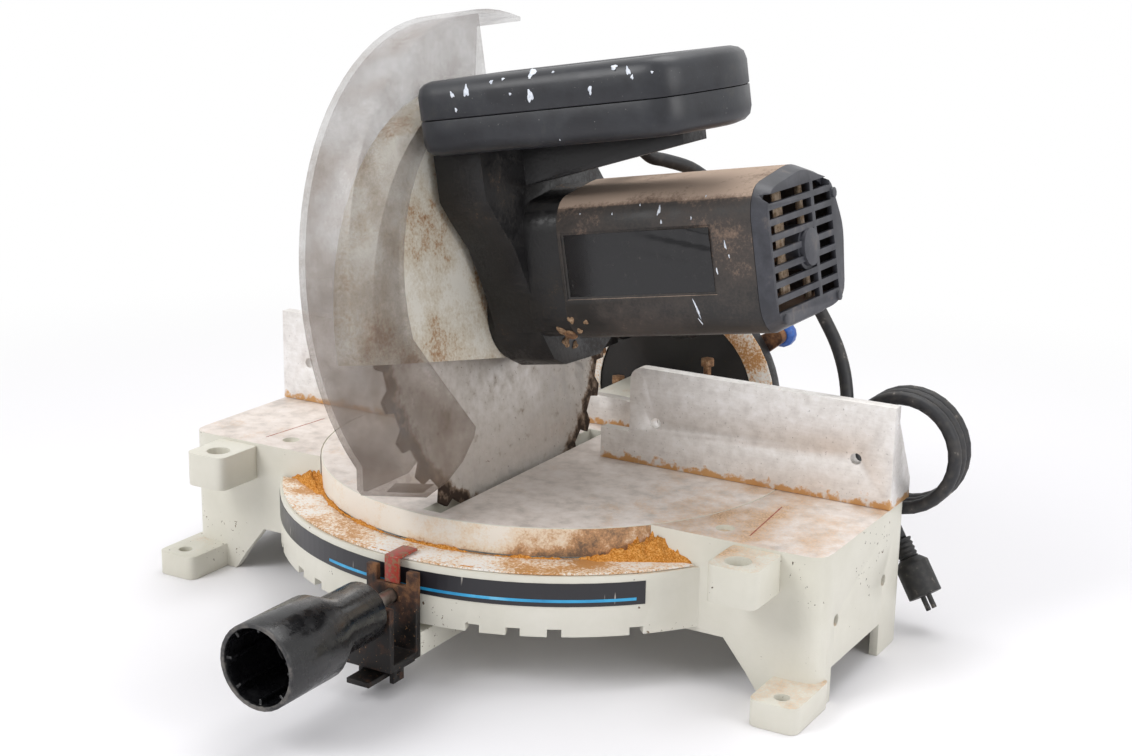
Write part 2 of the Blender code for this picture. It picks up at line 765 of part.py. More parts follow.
def make_mitre_scale(frame, finish):
    start = RING_TOP + GAP
    plan = crescent(RING_OUTER - SCALE_MARGIN, DISC_RADIUS + DISC_GAP + SCALE_MARGIN,
                    WING_FRONT + SCALE_MARGIN)
    add("mitre_scale", frame, finish, prism("Z", plan, start, start + SCALE_THICKNESS))


def make_fence(frame, finish):
    bottom = TABLE_TOP + GAP
    right = [(FENCE_HALF, bottom), (FENCE_HALF, FENCE_TOP),
             *arc((RIGHT_INNER + FENCE_CORNER, FENCE_TOP - FENCE_CORNER), FENCE_CORNER, 90, 180,
                  CORNER_STEPS * 2),
             (RIGHT_INNER, FENCE_TAB_TOP), (RIGHT_TAB, FENCE_TAB_TOP), (RIGHT_TAB, bottom)]
    left = [(-FENCE_HALF, bottom), (-FENCE_HALF, FENCE_TOP), (-LEFT_INNER, FENCE_TOP),
            (-LEFT_STEP, FENCE_TAB_TOP), (-LEFT_TAB, FENCE_TAB_TOP), (-LEFT_TAB, bottom)]
    fence = add("fence", frame, finish, prism("Y", right, 0, FENCE_THICKNESS))
    middle = FENCE_THICKNESS / 2
    outer_end = math.degrees(math.asin(middle / BOW_OUTER))
    inner_end = math.degrees(math.asin(middle / BOW_INNER))
    bow = (arc((0, 0), BOW_OUTER, outer_end, 180 - outer_end, 24)
           + arc((0, 0), BOW_INNER, 180 - inner_end, inner_end, 24))
    flange_top = bottom + FLANGE_THICKNESS
    gusset = [(middle, bottom), (WING_REAR, bottom), (WING_REAR, TABLE_TOP + GUSSET_KNEE),
              (FENCE_THICKNESS, FENCE_TOP - GUSSET_DROP), (middle, FENCE_TOP - GUSSET_DROP)]
    join(fence, frame, prism("Y", left, 0, FENCE_THICKNESS),
         prism("Z", bow, bottom, FENCE_TAB_TOP))
    for side in (-1, 1):
        ends = sorted((side * FLANGE_INNER, side * FENCE_HALF))
        rib = sorted((side * (FENCE_HALF - GUSSET_WIDTH), side * FENCE_HALF))
        join(fence, frame, box(ends, (middle, WING_REAR), (bottom, flange_top)),
             prism("X", gusset, *rib))
    holes = [rod("Y", (x, FENCE_HOLE_Z), FENCE_HOLE_RADIUS, -CUT, FENCE_THICKNESS + CUT)
             for x in FENCE_HOLE_XS]
    holes += [rod("Z", (x, FENCE_BOLT_Y), BOLT_SHANK + GAP, bottom - CUT, flange_top + CUT)
              for x in FENCE_BOLT_XS]
    cut(fence, frame, together(*holes))


def make_fence_bolts(frame, finish):
    seat = TABLE_TOP + FLANGE_THICKNESS + 2 * GAP
    foot = seat - BOLT_TAIL - DECK
    head = seat + BOLT_HEAD_HEIGHT
    for number, x in enumerate(FENCE_BOLT_XS, 1):
        add(f"fence_bolt_{number}", frame, finish, turned("Z", [
            (0, foot), (BOLT_SHANK, foot), (BOLT_SHANK, seat), (BOLT_HEAD, seat),
            (BOLT_HEAD, head), (0, head)], (x, FENCE_BOLT_Y), 6))


def make_turntable(frame, finish):
    plate = TABLE_TOP - DISC_PLATE
    disc = add("turntable", frame, finish,
               turned("Z", [(0, plate), (DISC_RADIUS - DISC_RIM, plate),
                            (DISC_RADIUS - DISC_RIM, DISC_BOTTOM), (DISC_RADIUS, DISC_BOTTOM),
                            (DISC_RADIUS, TABLE_TOP), (0, TABLE_TOP)], steps=ROUND_STEPS * 2))
    neck = [(-NECK_FRONT_HALF, NECK_FRONT), (NECK_FRONT_HALF, NECK_FRONT),
            (NECK_HALF, NECK_WIDE), (NECK_HALF, NECK_REAR), (-NECK_HALF, NECK_REAR),
            (-NECK_HALF, NECK_WIDE)]
    join(disc, frame, prism("Z", neck, NECK_BOTTOM, NECK_SHOULDER_TOP),
         box((-NECK_CROWN_HALF, NECK_CROWN_HALF), (NECK_FRONT, NECK_REAR),
             (NECK_BOTTOM, NECK_TOP)),
         box((-ARM_HALF, ARM_HALF), (-ARM_WEB_FRONT, -ARM_WEB_REAR),
             (ARM_BOTTOM, plate + DISC_PLATE / 2)),
         box((-ARM_HALF, ARM_HALF), (-ARM_FRONT, -ARM_WEB_REAR), (ARM_BOTTOM, ARM_TOP)))
    floor = HUB_TOP + GAP
    cradle = [(-CRADLE_HALF, floor), (CRADLE_HALF, floor), (CRADLE_HALF, plate + DISC_PLATE / 2),
              (CRADLE_HALF - CRADLE_WALL, plate + DISC_PLATE / 2),
              (CRADLE_HALF - CRADLE_WALL, floor + CRADLE_FLOOR),
              (CRADLE_WALL - CRADLE_HALF, floor + CRADLE_FLOOR),
              (CRADLE_WALL - CRADLE_HALF, plate + DISC_PLATE / 2),
              (-CRADLE_HALF, plate + DISC_PLATE / 2)]
    join(disc, frame, prism("Y", cradle, -CRADLE_DEPTH, CRADLE_DEPTH))
    slot = [(-SLOT_HALF, TABLE_TOP + CUT), (-SLOT_HALF, plate - CUT),
            (SLOT_HALF + SLOT_FLARE, plate - CUT), (SLOT_HALF, TABLE_TOP),
            (SLOT_HALF, TABLE_TOP + CUT)]
    cut(disc, frame, prism("Y", slot, -SLOT_FRONT, SLOT_REAR), together(
        rod("Z", (0, 0), PIVOT_SHANK + GAP, floor - CUT, floor + CRADLE_FLOOR + CUT),
        rod("Y", (0, TABLE_TOP), PIVOT_SHANK + GAP, LOCK_BOLT_FRONT - RUNNING_GAP, NECK_REAR + CUT),
        box((-FINGER_SLOT_HALF, FINGER_SLOT_HALF), (-FINGER_SLOT_FRONT, -FINGER_SLOT_REAR),
            (ARM_BOTTOM - CUT, ARM_TOP + CUT)),
        *[rod("Z", (side * STOP_X, STOP_Y), STOP_SHANK + GAP, NECK_SHOULDER_TOP - STOP_DEPTH,
              NECK_SHOULDER_TOP + CUT) for side in (-1, 1)]))


def make_pivot_bolt(frame, finish):
    top = HUB_TOP + CRADLE_FLOOR
    seat = BAR_BOTTOM - GAP
    add("table_pivot_bolt", frame, finish, turned("Z", [
        (0, seat - PIVOT_HEAD_HEIGHT), (PIVOT_HEAD, seat - PIVOT_HEAD_HEIGHT),
        (PIVOT_HEAD, seat), (PIVOT_SHANK, seat), (PIVOT_SHANK, top), (0, top)],
        steps=SMALL_STEPS))


def make_bracket(frame, finish):
    rear = -ARM_FRONT - GAP
    outer = (-ARM_HALF, ARM_HALF)
    bracket = add("lock_bracket", frame, finish,
                  box(outer, (rear - BRACKET_PLATE, rear), (BRACKET_FLOOR_BOTTOM, BRACKET_REAR_TOP)))
    floor_top = BRACKET_FLOOR_BOTTOM + BRACKET_PLATE
    join(bracket, frame,
         box(outer, (-BRACKET_FRONT, BRACKET_PLATE - BRACKET_FRONT),
             (BRACKET_FLOOR_BOTTOM, BRACKET_FRONT_TOP)),
         box(outer, (-BRACKET_FRONT, rear), (BRACKET_FLOOR_BOTTOM, floor_top)))
    for side in (-1, 1):
        ear = sorted((side * EAR_INNER, side * EAR_OUTER))
        join(bracket, frame, box(ear, (-LEVER_PIN_Y - EAR_HALF, -LEVER_PIN_Y + EAR_HALF),
                                 (EAR_BOTTOM, BRACKET_FLOOR_BOTTOM + BRACKET_PLATE / 2)))
    window = BRACKET_WINDOW_HALF
    cut(bracket, frame, together(
        box((-window, window), (rear - BRACKET_PLATE - CUT, rear + CUT),
            (BRACKET_WINDOW_BOTTOM, BRACKET_REAR_TOP + CUT)),
        rod("Y", (0, KNOB_Z), LOCK_SCREW_RADIUS + GAP, -BRACKET_FRONT - CUT,
            rear - BRACKET_PLATE - CUT * 2),
        rod("X", (-LEVER_PIN_Y, (LEVER_BOTTOM + LEVER_TOP) / 2), LEVER_PIN_RADIUS + GAP,
            -EAR_OUTER - CUT, EAR_OUTER + CUT)))
    cut(bracket, frame, rod("Y", (0, KNOB_Z), LOCK_SCREW_RADIUS + GAP,
                            rear - BRACKET_PLATE - CUT, rear + CUT))


def make_pointer(frame, finish):
    """A bent strip that stands in the bracket's window and reaches back over the scale."""
    low = BRACKET_WINDOW_BOTTOM + GAP
    high = RING_TOP + SCALE_THICKNESS + 2 * GAP + RUNNING_GAP
    front = -ARM_FRONT - BRACKET_PLATE / 2 - POINTER_THICKNESS
    strip = [(front, low), (front + POINTER_THICKNESS, low), (front + POINTER_THICKNESS, high),
             (-POINTER_TIP_Y, high), (-POINTER_TIP_Y, high + POINTER_THICKNESS),
             (front, high + POINTER_THICKNESS)]
    add("mitre_pointer", frame, finish, prism("X", strip, -POINTER_HALF, POINTER_HALF))


def make_lock_screw(frame, finish):
    add("lock_screw", frame, finish,
        rod("Y", (0, KNOB_Z), LOCK_SCREW_RADIUS, -KNOB_BORE_END + GAP, -LOCK_SCREW_TIP))


def make_knob(frame, finish):
    """The mitre lock's knob, hollow towards the front, with ribs inside its wall."""
    bore = LOCK_SCREW_RADIUS + GAP
    knob = add("lock_knob", frame, finish, turned("Y", [
        (0, -KNOB_FLOOR), (KNOB_RADIUS - KNOB_WALL, -KNOB_FLOOR),
        (KNOB_RADIUS - KNOB_WALL, -KNOB_LIP), (KNOB_RADIUS, -KNOB_LIP),
        (KNOB_RADIUS, -KNOB_FLARE_END), (KNOB_NECK_RADIUS, -KNOB_NECK_END),
        (KNOB_NECK_RADIUS, -KNOB_BACK), (bore, -KNOB_BACK), (bore, -KNOB_BORE_END),
        (0, -KNOB_BORE_END)], (0, KNOB_Z)))
    ribs = []
    for i in range(KNOB_RIBS):
        rib = box((KNOB_RADIUS - KNOB_WALL - KNOB_RIB_DEPTH, KNOB_RADIUS - KNOB_WALL / 2),
                  (-KNOB_LIP + KNOB_WALL, -KNOB_FLOOR + KNOB_WALL),
                  (-KNOB_RIB_WIDTH / 2, KNOB_RIB_WIDTH / 2))
        rib.transform(Matrix.Rotation(2 * math.pi * i / KNOB_RIBS, 4, "Y"))
        rib.transform(Matrix.Translation((0, 0, KNOB_Z)))
        ribs.append(rib)
    join(knob, frame, together(*ribs))


def make_detent_lever(frame, finish):
    lever = add("detent_lever", frame, finish, box(
        (-LEVER_HALF, LEVER_HALF), (-LEVER_FRONT, -LEVER_REAR), (LEVER_BOTTOM, LEVER_TOP)))
    join(lever, frame,
         box((-FINGER_HALF, FINGER_HALF), (-FINGER_FRONT, -LEVER_REAR), (LEVER_BOTTOM, FINGER_TOP)),
         rod("X", (-LEVER_PIN_Y, (LEVER_BOTTOM + LEVER_TOP) / 2), LEVER_PIN_RADIUS,
             -EAR_OUTER, EAR_OUTER))


def make_bevel_arm(frame, finish):
    """The disc behind the neck, with two lugs that carry the head's hinge."""
    front = NECK_REAR + GAP
    arm = add("bevel_arm", frame, finish, rod("Y", (0, 0), BEVEL_RADIUS, front,
                                              front + BEVEL_THICKNESS, ROUND_STEPS * 2))
    back = front + BEVEL_THICKNESS / 2
    lug = (arc((CHOP_Y, CHOP_V), LUG_RADIUS, 90, 270, 12)
           + [(back, CHOP_V - LUG_RADIUS), (back, CHOP_V + LUG_RADIUS)])
    for side in (-1, 1):
        join(arm, frame, prism("X", lug, *sorted((side * LUG_INNER, side * LUG_OUTER))))
    join(arm, frame,
         box((-LUG_OUTER, -LUG_INNER), (EAR_SHELF_FRONT, EAR_SHELF_REAR),
             (EAR_SHELF_BOTTOM, EAR_SHELF_TOP)),
         rod("X", (PIN_Y, PIN_V), PIN_EAR_HALF, LUG_INNER, LUG_OUTER),
         box((LUG_INNER, LUG_OUTER), (PIN_Y, CHOP_Y), (PIN_V - PIN_EAR_HALF, PIN_V + PIN_EAR_HALF)))
    shelf_middle = -(LUG_INNER + LUG_OUTER) / 2
    cut(arm, frame, together(
        rod("Y", (0, 0), PIVOT_SHANK + GAP, front - CUT, front + BEVEL_THICKNESS + CUT),
        rod("X", (CHOP_Y, CHOP_V), CHOP_SHAFT + GAP, -LUG_OUTER - CUT, LUG_OUTER + CUT),
        rod("X", (PIN_Y, PIN_V), PIN_RADIUS + GAP, LUG_INNER - CUT, LUG_OUTER + CUT),
        rod("Z", (shelf_middle, DEPTH_BOLT_Y), BOLT_SHANK + GAP, EAR_SHELF_BOTTOM - CUT,
            EAR_SHELF_TOP + CUT)))


def make_bevel_scale(frame, finish):
    """A band along the disc's rim, open at the top for the lugs."""
    end = BEVEL_BAND_END_DEGREES
    band = (arc((0, 0), BEVEL_RADIUS, -180 - end, end, ROUND_STEPS)
            + arc((0, 0), BEVEL_BAND_INNER, end, -180 - end, ROUND_STEPS))
    add("bevel_scale", frame, finish,
        prism("Y", band, NECK_REAR - BEVEL_BAND_THICKNESS, NECK_REAR))


def make_bevel_lock(table, lever_frame, steel, black, blue):
    disc_back = NECK_REAR + GAP + BEVEL_THICKNESS
    add("bevel_lock_stud", table, steel,
        rod("Y", (0, TABLE_TOP), PIVOT_SHANK, LOCK_BOLT_FRONT, LOCK_BOLT_REAR))
    add("bevel_lock_washer", table, steel,
        collar("Y", (0, TABLE_TOP), PIVOT_SHANK + GAP, PIVOT_HEAD, disc_back + GAP,
               LOCK_LEVER_FRONT - GAP))
    tip = LOCK_LEVER_WIDTH / 2
    outline = (arc((0, 0), LOCK_LEVER_HUB, 80, 280, 12)
               + arc((LOCK_LEVER_REACH, 0), tip, -90, 90, 8))
    lever_mesh = prism("Y", outline, LOCK_LEVER_FRONT, LOCK_LEVER_FRONT + LOCK_LEVER_THICKNESS)
    lever_mesh.transform(Matrix.Rotation(-LOCK_LEVER_ANGLE, 4, "Y"))
    lever_mesh.transform(Matrix.Translation((0, 0, TABLE_TOP)))
    lever = add("bevel_lock_lever", lever_frame, black, lever_mesh)
    cut(lever, lever_frame, rod("Y", (0, TABLE_TOP), PIVOT_SHANK + GAP, LOCK_LEVER_FRONT - CUT,
                                LOCK_LEVER_FRONT + LOCK_LEVER_THICKNESS + CUT))
    start = LOCK_LEVER_FRONT + LOCK_LEVER_THICKNESS + GAP
    end = start + LOCK_KNOB_LENGTH - GAP
    place = (LOCK_LEVER_REACH * math.cos(LOCK_LEVER_ANGLE),
             TABLE_TOP + LOCK_LEVER_REACH * math.sin(LOCK_LEVER_ANGLE))
    crown = LOCK_KNOB_RADIUS / 3
    add("bevel_lock_knob", lever_frame, blue, turned("Y", [
        (0, start), (LOCK_KNOB_RADIUS - crown, start), (LOCK_KNOB_RADIUS, start + crown),
        (LOCK_KNOB_RADIUS, end - crown), (LOCK_KNOB_RADIUS - crown, end), (0, end)],
        place, SMALL_STEPS))


def make_bevel_stops(frame, finish):
    foot = NECK_SHOULDER_TOP - STOP_DEPTH + GAP
    for name, x, top in (("left", -STOP_X, LEFT_STOP_TOP), ("right", STOP_X, RIGHT_STOP_TOP)):
        seat = top - STOP_HEAD_HEIGHT
        add(f"bevel_stop_{name}", frame, finish, turned("Z", [
            (0, foot), (STOP_SHANK, foot), (STOP_SHANK, seat), (STOP_HEAD, seat),
            (STOP_HEAD, top), (0, top)], (x, STOP_Y), 6))


def make_chop_shaft(frame, finish):
    """The hinge shaft through both lugs, with a spool on the right for the spring."""
    left = -LUG_OUTER - GAP
    right = LUG_OUTER + GAP
    spool_end = right + SPOOL_LENGTH
    rim = SPRING_RADIUS + SPRING_WIRE
    add("chop_shaft", frame, finish, turned("X", [
        (0, left - SHAFT_HEAD_LENGTH), (SHAFT_HEAD, left - SHAFT_HEAD_LENGTH),
        (SHAFT_HEAD, left), (CHOP_SHAFT, left), (CHOP_SHAFT, right), (SPOOL_RADIUS, right),
        (SPOOL_RADIUS, spool_end), (rim, spool_end), (rim, spool_end + BOLT_HEAD_HEIGHT),
        (0, spool_end + BOLT_HEAD_HEIGHT)], (CHOP_Y, CHOP_V), SMALL_STEPS))


def least_gap(points, radius, apart):
    """The least distance between the tube's surfaces at points at least so many apart."""
    return min((points[i] - points[j]).length for i in range(len(points))
               for j in range(i + apart, len(points))) - 2 * radius


def make_return_spring(frame, finish):
    steps = 10
    start = LUG_OUTER + GAP + SPRING_WIRE
    top = CHOP_V + SPRING_RADIUS
    points = [Vector((start, CHOP_Y + SPRING_LEG, top)) - frame.origin]
    for i in range(SPRING_CURLS * steps + 1):
        turn = math.pi / 2 + 2 * math.pi * i / steps
        points.append(Vector((start + SPRING_PITCH * i / steps,
                              CHOP_Y + SPRING_RADIUS * math.cos(turn),
                              CHOP_V + SPRING_RADIUS * math.sin(turn))) - frame.origin)
    points.append(points[-1] + Vector((0, -SPRING_LEG, 0)))
    tube("chop_return_spring", frame, finish, points, SPRING_WIRE / 2, 1)
    print("least gap in the spring", least_gap(points, SPRING_WIRE / 2, steps // 2))


def make_depth_stop(frame, finish):
    seat = EAR_SHELF_BOTTOM - GAP
    middle = -(LUG_INNER + LUG_OUTER) / 2
    low = seat - BOLT_HEAD_HEIGHT
    add("depth_stop_bolt", frame, finish, turned("Z", [
        (0, low), (BOLT_HEAD, low), (BOLT_HEAD, seat), (BOLT_SHANK, seat),
        (BOLT_SHANK, DEPTH_BOLT_TOP), (0, DEPTH_BOLT_TOP)], (middle, DEPTH_BOLT_Y), 6))


def make_lock_pin(frame, finish):
    knob = LUG_OUTER + PIN_TRAVEL + GAP
    add("head_lock_pin", frame, finish, turned("X", [
        (0, LUG_INNER), (PIN_RADIUS, LUG_INNER), (PIN_RADIUS, knob), (PIN_KNOB, knob),
        (PIN_KNOB, knob + PIN_KNOB_LENGTH), (0, knob + PIN_KNOB_LENGTH)],
        (PIN_Y, PIN_V), SMALL_STEPS))


def guard_outline(radius, lower):
    """The upper guard's side: most of a circle, closed by the edge over the blade's teeth."""
    rear_v = GUARD_EDGE_V - lower
    front_v = GUARD_EDGE_FRONT_V - lower
    rear = -math.degrees(math.asin((ARBOR_V - rear_v) / radius))
    front = 180 + math.degrees(math.asin((ARBOR_V - front_v) / radius))
    return arc((ARBOR_Y, ARBOR_V), radius, rear, front, ROUND_STEPS) + [
        (GUARD_EDGE_KNEE_Y, rear_v)]


def make_upper_guard(frame, finish):
    guard = add("upper_guard", frame, finish,
                prism("X", guard_outline(GUARD_RADIUS, 0), GUARD_LEFT, GUARD_RIGHT))
    cut(guard, frame, prism("X", guard_outline(GUARD_RADIUS - GUARD_WALL, CUT),
                            GUARD_LEFT + GUARD_WALL, GUARD_RIGHT - GUARD_WALL))
    arm = (arc((ARBOR_Y, ARBOR_V), GUARD_RADIUS - GUARD_WALL / 2, 30, -11, 12)
           + arc((CHOP_Y, CHOP_V), HEAD_HUB_RADIUS, -110, 70, 12))
    tab = DEPTH_BOLT_TOP + GAP
    hub = HEAD_HUB_HALF
    join(guard, frame, prism("X", arm, GUARD_LEFT, GUARD_RIGHT),
         rod("X", (CHOP_Y, CHOP_V), HEAD_HUB_RADIUS, -hub, hub, ROUND_STEPS),
         rod("X", (PIN_Y, PIN_V), PIN_EAR_HALF, 0, hub),
         box((HEAD_TAB_LEFT, GUARD_LEFT + GUARD_WALL), (HEAD_TAB_FRONT, HEAD_TAB_REAR),
             (tab, tab + HEAD_TAB_THICKNESS)))
    arbor = (ARBOR_Y, ARBOR_V)
    cut(guard, frame, together(
        rod("X", (CHOP_Y, CHOP_V), CHOP_SHAFT + GAP, -hub - CUT, hub + CUT),
        rod("X", (PIN_Y, PIN_V), PIN_RADIUS + GAP, LUG_INNER - PIN_TRAVEL - RUNNING_GAP, hub + CUT),
        rod("X", arbor, ARBOR_RADIUS + GUARD_WALL, 0, GUARD_RIGHT + CUT),
        rod("X", arbor, GUARD_SCREW_RADIUS + GAP, GUARD_LEFT - CUT, GUARD_LEFT + GUARD_WALL + CUT)))


def make_clear_guard(frame, finish):
    """A see-through channel that hangs in front of the blade and turns about the arbor."""
    centre = (CLEAR_Y, CLEAR_V)
    outline = (arc(centre, CLEAR_RADIUS, CLEAR_TOP_DEGREES, CLEAR_FRONT_DEGREES, ROUND_STEPS)
               + [CLEAR_LIP, *CLEAR_FOOT, *CLEAR_TIP, CLEAR_THROAT]
               + arc(centre, CLEAR_INNER, 190, CLEAR_TOP_DEGREES, ROUND_STEPS // 2))
    guard = add("clear_guard", frame, finish, prism("X", outline, CLEAR_LEFT, CLEAR_RIGHT))
    inside = (CLEAR_LEFT + CLEAR_WALL, CLEAR_RIGHT - CLEAR_WALL)
    rim = inset(outline, CLEAR_WALL)[1:ROUND_STEPS + 2 + len(CLEAR_FOOT)]
    mouth = arc(centre, CLEAR_RADIUS - CLEAR_WALL, CLEAR_TOP_DEGREES / 2, CLEAR_TOP_DEGREES, 1)
    cut(guard, frame, prism("X", [*mouth, *rim, centre], *inside),
        rod("X", (ARBOR_Y, ARBOR_V), BLADE_RADIUS + CLEAR_WALL, *inside, ROUND_STEPS * 2))
    wedge = arc(centre, CLEAR_RADIUS - CLEAR_WALL, 50, CLEAR_RIGHT_TOP_DEGREES, 8) + [centre]
    cut(guard, frame, prism("X", wedge, inside[1] - CUT, CLEAR_RIGHT + CUT))
    level = CLEAR_RELIEF * math.sqrt(2)
    reach = CLEAR_RADIUS
    below = [(-reach, reach + level), (reach, level - reach), (0, level - 2 * reach),
             (-2 * reach, level)]
    cut(guard, frame, prism("Y", below, CLEAR_Y - 2 * reach, CLEAR_Y + reach))
    start, end = CLEAR_SPOKE_DEGREES
    spoke = (arc(centre, CLEAR_INNER + CLEAR_HUB_RADIUS / 2, start, end, 12)
             + arc((ARBOR_Y, ARBOR_V), CLEAR_HUB_RADIUS, 240, 420, 12))
    join(guard, frame, prism("X", spoke, CLEAR_LEFT, inside[0]))
    cut(guard, frame, rod("X", (ARBOR_Y, ARBOR_V), GUARD_SCREW_RADIUS + GAP, CLEAR_LEFT - CUT,
                          inside[0] + CUT))


def make_guard_screw(frame, finish):
    seat = CLEAR_LEFT - GAP
    head = seat - GUARD_SCREW_HEAD_LENGTH
    end = GUARD_LEFT + GUARD_WALL - GAP
    add("guard_pivot_screw", frame, finish, turned("X", [
        (0, head), (GUARD_SCREW_HEAD, head), (GUARD_SCREW_HEAD, seat), (GUARD_SCREW_RADIUS, seat),
        (GUARD_SCREW_RADIUS, end), (0, end)], (ARBOR_Y, ARBOR_V), SMALL_STEPS))


def make_blade(frame, finish):
    outline = []
    for tooth in range(BLADE_TEETH):
        for share, radius in ((0, BLADE_RADIUS), (TOOTH_TIP_SHARE, BLADE_RADIUS - BLADE_HALF),
                              (TOOTH_ROOT_SHARES[0], BLADE_GULLET), (TOOTH_ROOT_SHARES[1], BLADE_GULLET)):
            turn = 2 * math.pi * (tooth + share) / BLADE_TEETH
            outline.append((ARBOR_Y + radius * math.cos(turn), ARBOR_V + radius * math.sin(turn)))
    blade = add("blade", frame, finish, prism("X", outline, -BLADE_HALF, BLADE_HALF))
    cut(blade, frame, rod("X", (ARBOR_Y, ARBOR_V), ARBOR_RADIUS + GAP, -BLADE_HALF - CUT,
                          BLADE_HALF + CUT))


def make_arbor(frame, steel, dark):
    centre = (ARBOR_Y, ARBOR_V)
    bore = ARBOR_RADIUS + GAP
    add("arbor_shaft", frame, steel, rod("X", centre, ARBOR_RADIUS, ARBOR_LEFT, ARBOR_RIGHT))
    add("inner_flange", frame, steel, collar("X", centre, bore, FLANGE_RADIUS, BLADE_HALF + GAP,
                                             INNER_FLANGE_END, 32))
    add("outer_flange", frame, steel, collar("X", centre, bore, FLANGE_RADIUS, OUTER_FLANGE_END,
                                             -BLADE_HALF - GAP, 32))
    add("arbor_bolt", frame, dark, hexagon("X", centre, ARBOR_BOLT_RADIUS, ARBOR_BOLT_END,
                                           ARBOR_LEFT - GAP))
    distance = math.hypot(MOTOR_Y - ARBOR_Y, MOTOR_V - ARBOR_V)
    add("arbor_gear", frame, dark, collar("X", centre, bore, distance - PINION_RADIUS - GAP,
                                          ARBOR_GEAR_START, ARBOR_GEAR_END, 32))


def make_gear_case(frame, finish):
    outline = [(CASE_TOP_FRONT, CASE_TOP), *CASE_FRONT_CURVE, *CASE_BOTTOM, *CASE_REAR_CURVE,
               (CASE_TOP_REAR, CASE_TOP)]
    case = add("gear_case", frame, finish, prism("X", outline, CASE_LEFT, CASE_STEP))
    arbor = (ARBOR_Y, ARBOR_V)
    motor = (MOTOR_Y, MOTOR_V)
    pad = GUARD_RIGHT + GAP
    seam = CASE_STEP - CASE_WALL
    root = CASE_STEP - CASE_WALL / 2
    wedge = [(root, CASE_TOP), (WEDGE_END, CASE_TOP), (WEDGE_END, WEDGE_TIP_V),
             (CASE_STEP + CASE_WALL, WEDGE_ROOT_V), (root, WEDGE_ROOT_V)]
    join(case, frame, rod("X", arbor, CASE_PAD_RADIUS, pad, CASE_LEFT + CASE_WALL, ROUND_STEPS),
         prism("X", inset(motor_section(), GAP * 4), CASE_STEP - CASE_WALL / 3, CASE_RIGHT),
         prism("Y", wedge, WEDGE_FRONT, WEDGE_REAR))
    span = Vector(motor) - Vector(arbor)
    heading = math.degrees(math.atan2(span.y, span.x))
    hull = (arc(arbor, CAVITY_RADIUS, heading + 90, heading + 270, 14)
            + arc(motor, CAVITY_RADIUS, heading - 90, heading + 90, 14))
    bearing = ARBOR_RADIUS + GAP + BEARING_WALL
    cut(case, frame, prism("X", hull, CAVITY_START, seam),
        rod("X", motor, CAVITY_RADIUS - CUT, seam - CUT, CASE_RIGHT + CUT, 28),
        rod("X", arbor, bearing + GAP, pad - CUT, CAVITY_START + CUT, ROUND_STEPS),
        rod("X", motor, SHAFT_BEARING_RADIUS + GAP, NOSE_BEARING_START - GAP, CAVITY_START + CUT),
        rod("Y", ((CASE_LEFT + CASE_STEP) / 2, LOCK_BUTTON_V), LOCK_BUTTON_RADIUS + GAP,
            LOCK_BUTTON_ROOT - LOCK_BUTTON_TRAVEL - GAP, LOCK_BUTTON_END))


def make_bearings(frame, finish):
    arbor_bore = ARBOR_RADIUS + GAP
    shaft_bore = SHAFT_RADIUS + GAP
    add("arbor_bearing", frame, finish, collar(
        "X", (ARBOR_Y, ARBOR_V), arbor_bore, arbor_bore + BEARING_WALL, ARBOR_BEARING_START,
        ARBOR_BEARING_END, 32))
    for name, start, end in (("nose_bearing", NOSE_BEARING_START, NOSE_BEARING_END),
                             ("rear_bearing", REAR_BEARING_START, REAR_BEARING_END)):
        add(name, frame, finish, collar("X", (MOTOR_Y, MOTOR_V), shaft_bore, SHAFT_BEARING_RADIUS,
                                        start, end))


def make_lock_button(frame, finish):
    add("spindle_lock_button", frame, finish, rod(
        "Y", ((CASE_LEFT + CASE_STEP) / 2, LOCK_BUTTON_V), LOCK_BUTTON_RADIUS, LOCK_BUTTON_ROOT,
        LOCK_BUTTON_END))


def motor_section():
    points = [(MOTOR_CENTRE_Y + y * MOTOR_HALF_DEPTH, MOTOR_CENTRE_V + v * MOTOR_HALF_HEIGHT)
              for y, v in MOTOR_SECTION_SHARES]
    return rounded(points, MOTOR_CORNER, 3)


def make_motor_housing(frame, finish):
    section = motor_section()
    housing = add("motor_housing", frame, finish, prism("X", section, MOTOR_START, MOTOR_END))
    front = MOTOR_CENTRE_Y - MOTOR_HALF_DEPTH
    cut(housing, frame,
        prism("X", inset(section, MOTOR_WALL), MOTOR_START - CUT, MOTOR_END + CUT),
        box((LABEL_START, LABEL_END), (front - CUT, front + LABEL_DEPTH),
            (LABEL_BOTTOM, LABEL_TOP)))


